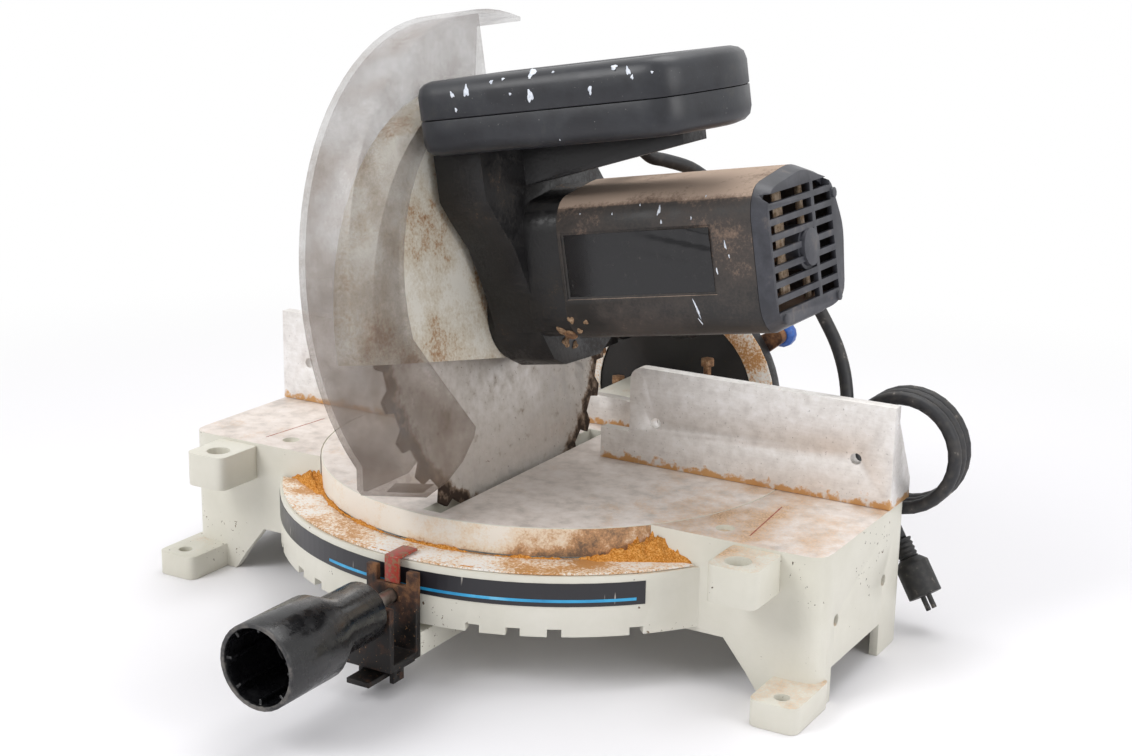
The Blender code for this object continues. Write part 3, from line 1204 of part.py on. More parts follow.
def make_end_cap(frame, finish):
    centre = (MOTOR_CENTRE_Y, MOTOR_CENTRE_V)
    start = MOTOR_END + GAP
    end = MOTOR_END + CAP_LENGTH
    outer = scaled(motor_section(), centre, CAP_SCALE_SHARE)
    cap = add("motor_end_cap", frame, finish, loft("X", [
        (start, scaled(outer, centre, 1 / CAP_SCALE_SHARE)), (end - CAP_WALL, outer),
        (end, inset(outer, CAP_WALL / 3))]))
    floor = end - CAP_WALL
    cut(cap, frame, prism("X", inset(outer, CAP_WALL), start - CUT, floor))
    slots = []
    for row in range(CAP_SLOT_ROWS):
        middle = MOTOR_CENTRE_V + (row - (CAP_SLOT_ROWS - 1) / 2) * CAP_SLOT_PITCH
        for band in CAP_SLOT_BANDS:
            slots.append(box((floor - CUT, end + CUT), band,
                             (middle - CAP_SLOT_HEIGHT / 2, middle + CAP_SLOT_HEIGHT / 2)))
    cut(cap, frame, together(*slots))
    axis = (MOTOR_Y, MOTOR_V)
    seat = SHAFT_BEARING_RADIUS + GAP
    join(cap, frame, rod("X", axis, CAP_BOSS_RADIUS, floor + CAP_WALL / 3, end + CAP_BOSS_OUT, 28),
         collar("X", axis, seat, seat + CAP_WALL, REAR_BEARING_START, floor + CAP_WALL / 2, 28))
    join(cap, frame, together(*[
        rod("X", (MOTOR_CENTRE_Y + y * MOTOR_HALF_DEPTH, MOTOR_CENTRE_V + v * MOTOR_HALF_HEIGHT),
            CAP_SCREW_RADIUS, floor + CAP_WALL / 2, end + CAP_SCREW_OUT, 12)
        for y, v in CAP_SCREW_SHARES]))


def make_armature(frame, winding, dark):
    axis = (MOTOR_Y, MOTOR_V)
    bore = SHAFT_RADIUS + GAP
    core_start = STATOR_START + GAP
    add("armature", frame, winding, turned("X", [
        (0, SHAFT_LEFT), (SHAFT_RADIUS, SHAFT_LEFT), (SHAFT_RADIUS, core_start),
        (CORE_RADIUS, core_start), (CORE_RADIUS, STATOR_END), (SHAFT_RADIUS, STATOR_END),
        (SHAFT_RADIUS, COMMUTATOR_START), (COMMUTATOR_RADIUS, COMMUTATOR_START),
        (COMMUTATOR_RADIUS, COMMUTATOR_END), (SHAFT_RADIUS, COMMUTATOR_END),
        (SHAFT_RADIUS, SHAFT_RIGHT), (0, SHAFT_RIGHT)], axis, 28))
    add("drive_pinion", frame, dark, collar("X", axis, bore, PINION_RADIUS, ARBOR_GEAR_START,
                                            ARBOR_GEAR_END))
    fan = add("cooling_fan", frame, dark, turned("X", [
        (bore, FAN_START), (FAN_RADIUS, FAN_START), (FAN_RADIUS, FAN_START + FAN_BACK),
        (FAN_HUB, FAN_START + FAN_BACK), (FAN_HUB, FAN_END), (bore, FAN_END)], axis, 28))
    vanes = []
    for i in range(FAN_BLADES):
        vane = box((FAN_START + FAN_BACK / 2, FAN_END), (FAN_HUB - FAN_BACK, FAN_RADIUS - FAN_BACK),
                   (-FAN_BACK / 2, FAN_BACK / 2))
        vane.transform(Matrix.Rotation(2 * math.pi * i / FAN_BLADES, 4, "X"))
        vane.transform(Matrix.Translation((0, *axis)))
        vanes.append(vane)
    join(fan, frame, together(*vanes))


def make_stator(frame, finish):
    floor = MOTOR_CENTRE_V - MOTOR_HALF_HEIGHT + MOTOR_WALL
    radius = MOTOR_V - floor - RUNNING_GAP
    add("motor_stator", frame, finish, collar(
        "X", (MOTOR_Y, MOTOR_V), CORE_RADIUS + RUNNING_GAP, radius, STATOR_START, STATOR_END, 32))


def handle_outline():
    return rounded([(HANDLE_LEFT, HANDLE_FRONT), (HANDLE_FRONT_RIGHT, HANDLE_FRONT),
                    (HANDLE_RIGHT, HANDLE_ELBOW_Y), (HANDLE_REAR_RIGHT, HANDLE_REAR),
                    (HANDLE_LEFT, HANDLE_REAR)], HANDLE_CORNER)


def handle_opening():
    return rounded([(HANDLE_HOLE_LEFT, HANDLE_HOLE_FRONT), (HANDLE_HOLE_RIGHT, HANDLE_HOLE_FRONT),
                    (HANDLE_HOLE_RIGHT, HANDLE_HOLE_REAR), (HANDLE_HOLE_LEFT, HANDLE_HOLE_REAR)],
                   HANDLE_HOLE_CORNER)


def make_handle_half(name, frame, finish, parting, far):
    """One hollow shell of the loop handle, from the parting plane to its far face."""
    side = 1 if far > parting else -1
    edge = HANDLE_ROUND
    steps = [(edge * inward, edge * up) for inward, up in HANDLE_ROUND_SHARES]
    rim = [(far - side * (edge - rise), draw) for rise, draw in steps]
    outer = [(parting, handle_outline())] + [(v, inset(handle_outline(), d)) for v, d in rim]
    hole = ([(parting - side * CUT, handle_opening())]
            + [(v, inset(handle_opening(), -d)) for v, d in rim]
            + [(far + side * CUT, inset(handle_opening(), -edge))])
    shell = add(name, frame, finish, loft("Z", outer))
    cut(shell, frame, loft("Z", hole))
    room = shape(shell, frame, "DIFFERENCE", prism(
        "Z", inset(handle_outline(), HANDLE_WALL), parting - side * CUT, far - side * HANDLE_WALL * 2))
    cut(room, frame, prism("Z", inset(handle_opening(), -HANDLE_WALL), parting - side * 2 * CUT,
                           far + side * CUT))
    slack = RUNNING_GAP
    cut(shell, frame, box((TRIGGER_START - slack, TRIGGER_END + slack),
                          (HANDLE_HOLE_FRONT - HANDLE_WALL - CUT, HANDLE_HOLE_FRONT + CUT),
                          (TRIGGER_BOTTOM - slack, TRIGGER_TOP + slack)))


def make_trigger(frame, finish):
    wall = HANDLE_HOLE_FRONT - HANDLE_WALL - GAP
    back = wall - TRIGGER_LIP
    tip = HANDLE_HOLE_FRONT + TRIGGER_OUT
    outline = rounded([(TRIGGER_START - TRIGGER_LIP, back), (TRIGGER_END + TRIGGER_LIP, back),
                       (TRIGGER_END + TRIGGER_LIP, wall), (TRIGGER_END, wall), (TRIGGER_END, tip),
                       (TRIGGER_START, tip), (TRIGGER_START, wall),
                       (TRIGGER_START - TRIGGER_LIP, wall)], TRIGGER_LIP / 4, 3)
    add("trigger", frame, finish, prism("Z", outline, TRIGGER_BOTTOM, TRIGGER_TOP))


def make_switch(frame, finish):
    rear = HANDLE_HOLE_FRONT - HANDLE_WALL - GAP - TRIGGER_LIP - TRIGGER_TRAVEL - RUNNING_GAP
    floor = CASE_TOP + GAP + HANDLE_WALL * 2 + GAP
    add("switch_body", frame, finish, box((SWITCH_START, SWITCH_END), (SWITCH_FRONT, rear),
                                          (floor, SWITCH_TOP)))


def ribbed(length, wide, narrow, ribs):
    """A tapered sleeve with ribs around it, along the z axis."""
    profile = [(0, 0), (wide, 0)]
    for i in range(ribs):
        share = (i + 1 / 2) / ribs
        radius = wide + (narrow - wide) * share
        profile += [(radius, length * (share - RIB_WIDTH_SHARE / ribs)),
                    (radius - narrow * RIB_DEPTH_SHARE, length * (share + RIB_WIDTH_SHARE / ribs))]
    return turned("Z", profile + [(narrow, length), (0, length)], steps=SMALL_STEPS)


def aim(mesh, start, direction):
    """Turn a form that lies along the z axis towards a direction, from a starting point."""
    turn = Vector((0, 0, 1)).rotation_difference(Vector(direction))
    mesh.transform(Matrix.Translation(start) @ turn.to_matrix().to_4x4())
    return mesh


def make_strain_relief(frame, finish):
    start = Vector(SLEEVE_START)
    run = Vector(SLEEVE_END) - start
    root = start - run.normalized() * SLEEVE_RADIUS
    mesh = ribbed(run.length + SLEEVE_RADIUS, SLEEVE_RADIUS, SLEEVE_TIP_RADIUS, SLEEVE_RIBS)
    sleeve = add("strain_relief", frame, finish, aim(mesh, root, run))
    handle_back = HANDLE_REAR + GAP
    reach = SLEEVE_RADIUS * 4
    cut(sleeve, frame, box((start.x - reach, start.x + reach), (handle_back - reach, handle_back),
                           (start.z - reach, start.z + reach)))


def coil_points():
    """The coil's centre line: straight ends of one diameter and a steady spiral between them."""
    steps = 24
    sweep = 360 * COIL_LOOPS + COIL_END_DEGREES - COIL_START_DEGREES
    count = round(sweep * steps / 360)
    loops = []
    for i in range(count + 1):
        turn = math.radians(COIL_START_DEGREES + sweep * i / count)
        loops.append(Vector((COIL_CENTRE_X + COIL_RADIUS * math.cos(turn),
                             COIL_FRONT + COIL_PITCH * sweep / 360 * i / count,
                             COIL_CENTRE_Z + COIL_RADIUS * math.sin(turn))))
    first = (loops[0] - loops[1]).normalized() * 2 * CORD_RADIUS
    last = (loops[-1] - loops[-2]).normalized() * 2 * CORD_RADIUS
    print("least gap in the coil", least_gap(loops, CORD_RADIUS, steps // 2))
    return [loops[0] + first, *loops, loops[-1] + last]


def free_route(start, start_way, middle, end, end_way, step):
    """A smooth route whose ends run straight for one diameter along the ways given."""
    straight = 2 * CORD_RADIUS
    first = start + start_way.normalized() * straight
    last = end - end_way.normalized() * straight
    curve = smooth_route([start, first, *middle, last, end], step)
    inner = [point for point in curve if min((point - start).length, (point - end).length)
             > straight * 3 / 2]
    return [start, first, *inner, last, end]


def stretch_between(route, first, last):
    """Part of a route; where it meets the next part, both ends run straight along the route."""
    straight = 2 * CORD_RADIUS
    points = route[first:last + 1]
    if first > 0:
        way = (route[first + 1] - route[first - 1]).normalized()
        points[0:1] = [route[first] + way * GAP / 2, route[first] + way * straight]
    if last < len(route) - 1:
        way = (route[last + 1] - route[last - 1]).normalized()
        points[-1:] = [route[last] - way * straight, route[last] - way * GAP / 2]
    return points


def make_cord(root, table, bevel, head, black, rubber):
    """The cord from the handle, its coil behind the fence, and the tail with the plug."""
    coil = coil_points()
    way = (head.world(SLEEVE_END) - head.world(SLEEVE_START)).normalized()
    shift = root.world((0, 0, 0))
    start = head.world(SLEEVE_END) - shift + way * GAP
    down = coil[1] - coil[0]
    route = free_route(start, way, LEAD_ROUTE, coil[0] - down.normalized() * GAP, down, ROUTE_STEP)
    breaks = [0, *(round(share * (len(route) - 1)) for share in LEAD_BREAK_SHARES), len(route) - 1]
    for name, frame, first, last in zip(("cord_head", "cord_arm", "cord_table"),
                                        (head, bevel, table), breaks, breaks[1:]):
        points = [frame.local(point + shift) for point in stretch_between(route, first, last)]
        tube(name, frame, black, points, CORD_RADIUS)
    tube("cord_coil", root, black, coil, CORD_RADIUS, 1)
    leaving = coil[-1] - coil[-2]
    plug_way = Vector(PLUG_DIRECTION).normalized()
    tail = free_route(coil[-1] + leaving.normalized() * GAP, leaving, TAIL_ROUTE,
                      Vector(PLUG_START), plug_way, ROUTE_STEP / 2)
    tube("cord_tail", root, black, tail, CORD_RADIUS)
    sleeve_start = Vector(PLUG_START) + plug_way * GAP
    add("plug_sleeve", root, rubber, aim(
        ribbed(PLUG_SLEEVE_LENGTH, PLUG_WAIST, PLUG_WAIST, SLEEVE_RIBS - 1), sleeve_start, plug_way))
    body_start = sleeve_start + plug_way * (PLUG_SLEEVE_LENGTH + GAP)
    crown = PLUG_RADIUS - PLUG_WAIST
    body = turned("Z", [(0, 0), (PLUG_WAIST, 0), (PLUG_RADIUS, crown), (PLUG_RADIUS, PLUG_LENGTH),
                        (0, PLUG_LENGTH)], steps=SMALL_STEPS)
    plug = add("plug", root, rubber, aim(body, body_start, plug_way))
    for side in (-1, 1):
        prong = rod("Z", (side * PRONG_SPACING / 2, 0), PRONG_RADIUS, PLUG_LENGTH - PRONG_RADIUS,
                    PLUG_LENGTH + PRONG_LENGTH, 10)
        join(plug, root, aim(prong, body_start, plug_way))


def build():
    clear_scene()
    enamel = material("pale_enamel", (0.50, 0.50, 0.42), 0.45)
    machined = material("machined_table", (0.42, 0.40, 0.36), 0.42, 0.6)
    aluminium = material("brushed_aluminium", (0.58, 0.58, 0.56), 0.35, 0.9)
    scale_white = material("scale_plate", (0.66, 0.65, 0.60), 0.5)
    black_steel = material("black_steel", (0.035, 0.032, 0.030), 0.5, 0.5)
    black_cast = material("black_casting", (0.028, 0.027, 0.026), 0.5, 0.2)
    black_plastic = material("black_plastic", (0.016, 0.016, 0.017), 0.35)
    grey_plastic = material("dark_grey_plastic", (0.045, 0.045, 0.047), 0.5)
    clear = material("smoky_polycarbonate", (0.45, 0.44, 0.41), 0.15, 0, 0.35)
    blade_steel = material("blade_steel", (0.30, 0.29, 0.28), 0.38, 0.9)
    bright = material("bright_steel", (0.55, 0.54, 0.52), 0.3, 1)
    rusty = material("rusty_steel", (0.22, 0.13, 0.08), 0.7, 0.5)
    red = material("red_paint", (0.55, 0.03, 0.02), 0.4)
    blue = material("blue_plastic", (0.02, 0.10, 0.42), 0.4)
    copper = material("copper_winding", (0.55, 0.25, 0.12), 0.4, 0.8)
    cord_black = material("cord_black", (0.018, 0.018, 0.018), 0.6)
    rubber = material("black_rubber", (0.022, 0.022, 0.022), 0.7)

    root = Frame("frame_root", (0, ORIGIN_SHIFT, 0), origin=(0, 0, 0))
    table = Frame("frame_turntable", (0, 0, 0), root)
    pin_z = (LEVER_BOTTOM + LEVER_TOP) / 2
    knob = Frame("frame_lock_knob", (0, -KNOB_BACK, KNOB_Z), table)
    detent = Frame("frame_detent_lever", (0, -LEVER_PIN_Y, pin_z), table)
    lock_lever = Frame("frame_bevel_lock", (0, LOCK_LEVER_FRONT, TABLE_TOP), table)
    bevel = Frame("frame_bevel", (0, 0, TABLE_TOP), table, origin=(0, 0, 0), tilt=REST_BEVEL)
    pin = Frame("frame_lock_pin", (0, PIN_Y, PIN_V), bevel)
    head = Frame("frame_head", (0, CHOP_Y, CHOP_V), bevel)
    guard = Frame("frame_clear_guard", (0, ARBOR_Y, ARBOR_V), head)
    arbor = Frame("frame_arbor", (0, ARBOR_Y, ARBOR_V), head)
    motor = Frame("frame_armature", (0, MOTOR_Y, MOTOR_V), head)
    trigger = Frame("frame_trigger", (0, HANDLE_HOLE_FRONT, TRIGGER_BOTTOM), head)
    button = Frame("frame_spindle_lock", (0, LOCK_BUTTON_END, LOCK_BUTTON_V), head)

    make_base(root, enamel)
    make_mitre_scale(root, scale_white)
    make_fence(root, aluminium)
    make_fence_bolts(root, bright)
    make_pivot_bolt(root, bright)

    make_turntable(table, machined)
    make_bracket(table, black_steel)
    make_pointer(table, red)
    make_lock_screw(knob, bright)
    make_knob(knob, black_plastic)
    make_detent_lever(detent, black_steel)
    make_bevel_stops(table, rusty)
    make_bevel_lock(table, lock_lever, bright, black_steel, blue)

    make_bevel_arm(bevel, black_cast)
    make_bevel_scale(bevel, scale_white)
    make_chop_shaft(bevel, bright)
    make_return_spring(bevel, black_steel)
    make_depth_stop(bevel, rusty)
    make_lock_pin(pin, bright)

    make_upper_guard(head, enamel)
    make_gear_case(head, black_cast)
    make_bearings(head, bright)
    make_lock_button(button, black_plastic)
    make_motor_housing(head, black_plastic)
    make_end_cap(head, grey_plastic)
    make_stator(head, copper)
    make_armature(motor, copper, black_steel)
    make_arbor(arbor, bright, black_steel)
    make_blade(arbor, blade_steel)
    make_clear_guard(guard, clear)
    make_guard_screw(head, bright)
    half_gap = GAP / 2
    make_handle_half("handle_lower", head, black_plastic, HANDLE_PARTING - half_gap, CASE_TOP + GAP)
    make_handle_half("handle_upper", head, black_plastic, HANDLE_PARTING + half_gap, HANDLE_TOP)
    make_trigger(trigger, grey_plastic)
    make_switch(head, grey_plastic)
    make_strain_relief(head, rubber)
    make_cord(root, table, bevel, head, cord_black, rubber)


build()
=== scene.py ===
"""The looks of a compound mitre saw: its finishes, marks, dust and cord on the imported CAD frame.

Lengths are metres in the frame's own axes: x along the fence, y to the back, z up.
"""
import math

import bmesh
import bpy
from mathutils import Matrix, Vector
from mathutils.bvhtree import BVHTree


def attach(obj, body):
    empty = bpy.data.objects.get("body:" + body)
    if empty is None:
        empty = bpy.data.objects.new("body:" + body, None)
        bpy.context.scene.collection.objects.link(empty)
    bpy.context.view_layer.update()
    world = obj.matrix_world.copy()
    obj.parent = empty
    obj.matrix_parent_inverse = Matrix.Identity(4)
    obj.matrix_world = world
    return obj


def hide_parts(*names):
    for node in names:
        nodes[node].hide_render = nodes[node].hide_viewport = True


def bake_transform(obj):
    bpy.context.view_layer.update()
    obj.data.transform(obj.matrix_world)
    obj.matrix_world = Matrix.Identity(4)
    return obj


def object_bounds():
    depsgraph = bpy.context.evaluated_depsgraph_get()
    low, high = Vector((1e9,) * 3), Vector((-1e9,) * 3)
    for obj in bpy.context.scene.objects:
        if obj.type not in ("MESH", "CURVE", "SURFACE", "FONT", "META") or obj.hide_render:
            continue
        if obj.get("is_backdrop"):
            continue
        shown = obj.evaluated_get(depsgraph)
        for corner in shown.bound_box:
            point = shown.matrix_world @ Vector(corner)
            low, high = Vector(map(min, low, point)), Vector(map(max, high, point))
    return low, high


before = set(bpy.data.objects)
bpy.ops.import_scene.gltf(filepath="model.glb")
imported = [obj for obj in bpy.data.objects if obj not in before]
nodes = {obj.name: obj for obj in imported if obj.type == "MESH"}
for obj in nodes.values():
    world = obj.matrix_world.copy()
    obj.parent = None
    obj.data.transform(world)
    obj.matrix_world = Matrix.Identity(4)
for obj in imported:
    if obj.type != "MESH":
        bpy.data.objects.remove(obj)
cad_low, cad_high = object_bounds()


# Camera: a 58 mm lens about a metre off, to the right of the saw's front and a little
# above the table, which gives the photograph's strong perspective.
CAMERA_PLACE = Vector((0.5598, -0.9005, 0.4306))
CAMERA_TURN = math.radians(30.23)
CAMERA_PITCH = math.radians(14.99)
CAMERA_ROLL = math.radians(0.90)
LENS_MM = 58.04
FRAME_WIDTH = 1132
FRAME_HEIGHT = 756

ahead = Vector((-math.sin(CAMERA_TURN) * math.cos(CAMERA_PITCH),
                math.cos(CAMERA_TURN) * math.cos(CAMERA_PITCH), -math.sin(CAMERA_PITCH)))
level_right = Vector((math.cos(CAMERA_TURN), math.sin(CAMERA_TURN), 0))
level_up = level_right.cross(ahead)
view_right = math.cos(CAMERA_ROLL) * level_right + math.sin(CAMERA_ROLL) * level_up
view_up = view_right.cross(ahead)

camera = bpy.data.objects.new("camera", bpy.data.cameras.new("camera"))
bpy.context.scene.collection.objects.link(camera)
camera.data.sensor_width = 36
camera.data.lens = LENS_MM
camera.data.clip_start = 0.01
camera.matrix_world = Matrix((
    (view_right.x, view_up.x, -ahead.x, CAMERA_PLACE.x),
    (view_right.y, view_up.y, -ahead.y, CAMERA_PLACE.y),
    (view_right.z, view_up.z, -ahead.z, CAMERA_PLACE.z),
    (0, 0, 0, 1)))
bpy.context.scene.camera = camera
bpy.context.scene.view_settings.view_transform = "Standard"


def sight(across, down):
    """The direction of the camera's ray through a pixel of the 1132 x 756 photograph."""
    focal = LENS_MM / 36 * FRAME_WIDTH
    return (ahead + view_right * (across - FRAME_WIDTH / 2) / focal
            - view_up * (down - FRAME_HEIGHT / 2) / focal).normalized()


# Floor and light: a white paper sweep under large soft lamps. The paper fades to plain
# white away from the saw, and keeps the saw's shadow near it.
def linear(code):
    """A hex sRGB colour as linear red, green, blue and an opaque alpha."""
    values = [int(code[i:i + 2], 16) / 255 for i in (1, 3, 5)]
    return (*(v / 12.92 if v <= 0.04045 else ((v + 0.055) / 1.055) ** 2.4 for v in values), 1)


def node(tree, kind, inputs=(), stops=(), **settings):
    """Add a node with its settings, a ramp's (place, colour) stops, and its input values or links."""
    made = tree.nodes.new(kind)
    for name, value in settings.items():
        setattr(made, name, value)
    for i, (place, colour) in enumerate(stops):
        stop = made.color_ramp.elements[i] if i < 2 else made.color_ramp.elements.new(place)
        stop.position = place
        stop.color = linear(colour) if isinstance(colour, str) else (colour,) * 3 + (1,)
    for socket, value in dict(inputs).items():
        if isinstance(value, bpy.types.Node):
            value = next(output for output in value.outputs if output.enabled)
        if isinstance(value, bpy.types.NodeSocket):
            tree.links.new(value, made.inputs[socket])
        else:
            made.inputs[socket].default_value = value
    return made


def ranged(tree, value, low, high, bottom=0, top=1, **settings):
    """A node that turns values from low to high into values from bottom to top."""
    return node(tree, "ShaderNodeMapRange", {"Value": value, "From Min": low, "From Max": high,
                                             "To Min": bottom, "To Max": top}, **settings)


def maths(tree, operation, first, second):
    """A node that adds, multiplies or compares two values."""
    return node(tree, "ShaderNodeMath", {0: first, 1: second}, operation=operation)


def noise(tree, place, scale, detail, grit=0.5):
    """A noise node, scaled in cells to the metre: 100 gives patches of about 10 mm."""
    return node(tree, "ShaderNodeTexNoise",
                {"Vector": place, "Scale": scale, "Detail": detail, "Roughness": grit})


def finish(name, **constants):
    """A new material; returns its node tree, its shader and the place on the object in metres."""
    material = bpy.data.materials.new(name)
    material.use_nodes = True
    tree = material.node_tree
    shader = tree.nodes["Principled BSDF"]
    for socket, value in constants.items():
        shader.inputs[socket.replace("_", " ")].default_value = value
    place = node(tree, "ShaderNodeTexCoord").outputs["Object"]
    return material, tree, shader, place


def shape(name, form, material, smooth=True):
    """A mesh object from a bmesh, with its outward faces and one material."""
    bmesh.ops.recalc_face_normals(form, faces=form.faces)
    mesh = bpy.data.meshes.new(name)
    form.to_mesh(mesh)
    form.free()
    if smooth:
        mesh.shade_smooth()
    mesh.materials.append(material)
    piece = bpy.data.objects.new(name, mesh)
    bpy.context.scene.collection.objects.link(piece)
    return piece


paper, tree, shader, place = finish("white_paper_sweep", Roughness=0.9)
shader.inputs["Base Color"].default_value = linear("#f6f5f8")
shader.inputs["Specular IOR Level"].default_value = 0.1
out = node(tree, "ShaderNodeVectorMath", {0: place}, operation="LENGTH").outputs["Value"]
fade = ranged(tree, out, 0.38, 1.0, interpolation_type="SMOOTHSTEP")
seen = node(tree, "ShaderNodeLightPath")
sees_white = maths(tree, "MAXIMUM", seen.outputs["Is Camera Ray"],
                   seen.outputs["Is Transmission Ray"])
amount = maths(tree, "MULTIPLY", fade, sees_white)
glow = node(tree, "ShaderNodeEmission", {"Color": (1, 1, 1, 1), "Strength": 1.0})
blend = node(tree, "ShaderNodeMixShader", {0: amount, 1: shader.outputs[0], 2: glow})
tree.links.new(blend.outputs[0], tree.nodes["Material Output"].inputs["Surface"])
form = bmesh.new()
bmesh.ops.create_grid(form, x_segments=8, y_segments=8, size=5)
floor = shape("floor", form, paper)
floor.location.z = cad_low.z - 0.0002
floor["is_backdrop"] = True

world = bpy.data.worlds.new("studio")
bpy.context.scene.world = world
world.use_nodes = True
tree = world.node_tree
seen = node(tree, "ShaderNodeLightPath")
direct = maths(tree, "MAXIMUM", seen.outputs["Is Camera Ray"], seen.outputs["Is Glossy Ray"])
direct = maths(tree, "MAXIMUM", direct, seen.outputs["Is Transmission Ray"])
strength = ranged(tree, direct, 0, 1, 0.50, 1.0)
background = tree.nodes["Background"]
background.inputs["Color"].default_value = (1, 1, 1, 1)
tree.links.new(strength.outputs[0], background.inputs["Strength"])

for name, spot, aim, watts, width, height in (
        ("key_softbox", (-0.7, -1.3, 1.25), (0, 0, 0.15), 15.5, 0.9, 0.9),
        ("top_softbox", (0.15, 0.35, 1.5), (0, 0, 0.1), 11.0, 1.2, 0.8),
        ("right_softbox", (1.5, -0.2, 0.7), (0, 0, 0.15), 6.5, 0.8, 1.0)):
    lamp = bpy.data.lights.new(name, "AREA")
    lamp.energy = watts
    lamp.shape = "RECTANGLE"
    lamp.size = width
    lamp.size_y = height
    holder = bpy.data.objects.new(name, lamp)
    holder.location = spot
    holder.rotation_mode = "QUATERNION"
    holder.rotation_quaternion = (Vector(aim) - Vector(spot)).to_track_quat("-Z", "Y")
    bpy.context.scene.collection.objects.link(holder)


# Cord: an 8 mm round rubber-sheathed flex from the handle, hung in three loops behind the
# fence's end and ending in its moulded plug.
CORD_RADIUS = 0.004
LEAD = ((0.06785, 0.02658, 0.28686), (0.07199, 0.03133, 0.28192), (0.07661, 0.03975, 0.27953),
        (0.08495, 0.05482, 0.27405), (0.09273, 0.06815, 0.26454), (0.09694, 0.07533, 0.25865),
        (0.10096, 0.07978, 0.25335), (0.10497, 0.08423, 0.24806), (0.11081, 0.08817, 0.2407),
        (0.12146, 0.09385, 0.22718), (0.1327, 0.09752, 0.21344), (0.13925, 0.09888, 0.20582),
        (0.14418, 0.09941, 0.19955), (0.14911, 0.09994, 0.19327), (0.15502, 0.09991, 0.18502),
        (0.16483, 0.09836, 0.16987), (0.1723, 0.09508, 0.15372), (0.17689, 0.09032, 0.13685),
        (0.17636, 0.08772, 0.12715), (0.17741, 0.08806, 0.11922))
LEAD_STRETCHES = (("lead_upper", "cord_head", 0, 6, "head", "bevel"),
                  ("lead_middle", "cord_arm", 6, 12, "bevel", "turntable"),
                  ("lead_lower", "cord_table", 12, 19, "turntable", "base"))
TAIL = ((0.18228, 0.11502, 0.09162), (0.18401, 0.11536, 0.08381), (0.19073, 0.11363, 0.07876),
        (0.19584, 0.11176, 0.07241), (0.20064, 0.10979, 0.06586), (0.20551, 0.10771, 0.05892),
        (0.21, 0.1061, 0.0525))
COIL_CENTRE = Vector((0.2115, 0.0884, 0.111))
COIL_RADIUS = 0.033
COIL_PITCH = 0.0086
COIL_TURNS = 3 + 20 / 360
COIL_STEPS = 30


def drive(tree, shader, colour=None, rough=None, relief=None):
    """Let nodes set a shader's colour and roughness, and a bump's height, strength and depth."""
    bump = relief and node(tree, "ShaderNodeBump",
                           dict(zip(("Height", "Strength", "Distance"), relief)))
    for socket, source in (("Base Color", colour), ("Roughness", rough), ("Normal", bump)):
        if source:
            output = next(output for output in source.outputs if output.enabled)
            tree.links.new(output, shader.inputs[socket])


def mottled(name, scale, detail, stops, grit=0.5, rough=None, relief=None, **constants):
    """A finish whose one noise, in cells to the metre, picks its colour and may set its rest."""
    material, tree, shader, place = finish(name, **constants)
    cloud = noise(tree, place, scale, detail, grit)
    tone = node(tree, "ShaderNodeValToRGB", {0: cloud}, stops)
    if rough:
        rough = ranged(tree, cloud, 0, 1, *rough)
    drive(tree, shader, tone, rough, relief and (cloud, *relief))
    return material


flex = mottled("rubber_flex_sheath", 160, 4,
               ((0.45, "#202023"), (0.66, "#3b3836"), (0.74, "#8d867f")),
               rough=(0.36, 0.72), relief=(0.25, 0.0003), Roughness=0.48)


def smoothed(points, pieces):
    """Points on a smooth curve through the given ones, several to each span."""
    ends = [2 * points[0] - points[1], *points, 2 * points[-1] - points[-2]]
    curve = []
    for a, b, c, d in zip(ends, ends[1:], ends[2:], ends[3:]):
        for i in range(pieces):
            t = i / pieces
            curve.append(0.5 * (2 * b + (c - a) * t + (2 * a - 5 * b + 4 * c - d) * t ** 2
                                + (3 * b - a - 3 * c + d) * t ** 3))
    return [*curve, points[-1]]


def tube(name, path, radius, material, around=16):
    """A round tube along a path, with closed ends."""
    form = bmesh.new()
    rings = []
    side = (path[1] - path[0]).orthogonal().normalized()
    for i, point in enumerate(path):
        way = (path[min(i + 1, len(path) - 1)] - path[max(i - 1, 0)]).normalized()
        side = (side - way * side.dot(way)).normalized()
        across = way.cross(side)
        spokes = [side * math.cos(turn) + across * math.sin(turn)
                  for turn in (2 * math.pi * k / around for k in range(around))]
        rings.append([form.verts.new(point + radius * spoke) for spoke in spokes])
    for lower, upper in zip(rings, rings[1:]):
        for k in range(around):
            form.faces.new((lower[k - 1], lower[k], upper[k], upper[k - 1]))
    form.faces.new(rings[0])
    form.faces.new(rings[-1])
    return shape(name, form, material)


lead = [Vector(point) for point in LEAD]
lead_curve = smoothed(lead, 4)
for name, solid, first, last, upper, lower in LEAD_STRETCHES:
    path = lead_curve[4 * first:4 * last + 1]
    stretch = tube(name, path, CORD_RADIUS, flex)
    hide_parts(solid)
    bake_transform(stretch)

loops = []
for i in range(round(COIL_TURNS * COIL_STEPS) + 1):
    turn = math.pi + 2 * math.pi * i / COIL_STEPS
    loops.append(COIL_CENTRE + Vector((COIL_RADIUS * math.cos(turn), COIL_PITCH * i / COIL_STEPS,
                                       COIL_RADIUS * math.sin(turn))))
path = [lead[-1], *loops, *smoothed([Vector(point) for point in TAIL], 4)]
coil = tube("cord_loops", path, CORD_RADIUS, flex)
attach(coil, "base")
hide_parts("cord_coil", "cord_tail")

rubber = mottled("moulded_rubber", 240, 5, ((0.42, "#1c1c1d"), (0.64, "#2f2d2b"), (0.75, "#77716a")),
                 relief=(0.3, 0.0003), Roughness=0.55)


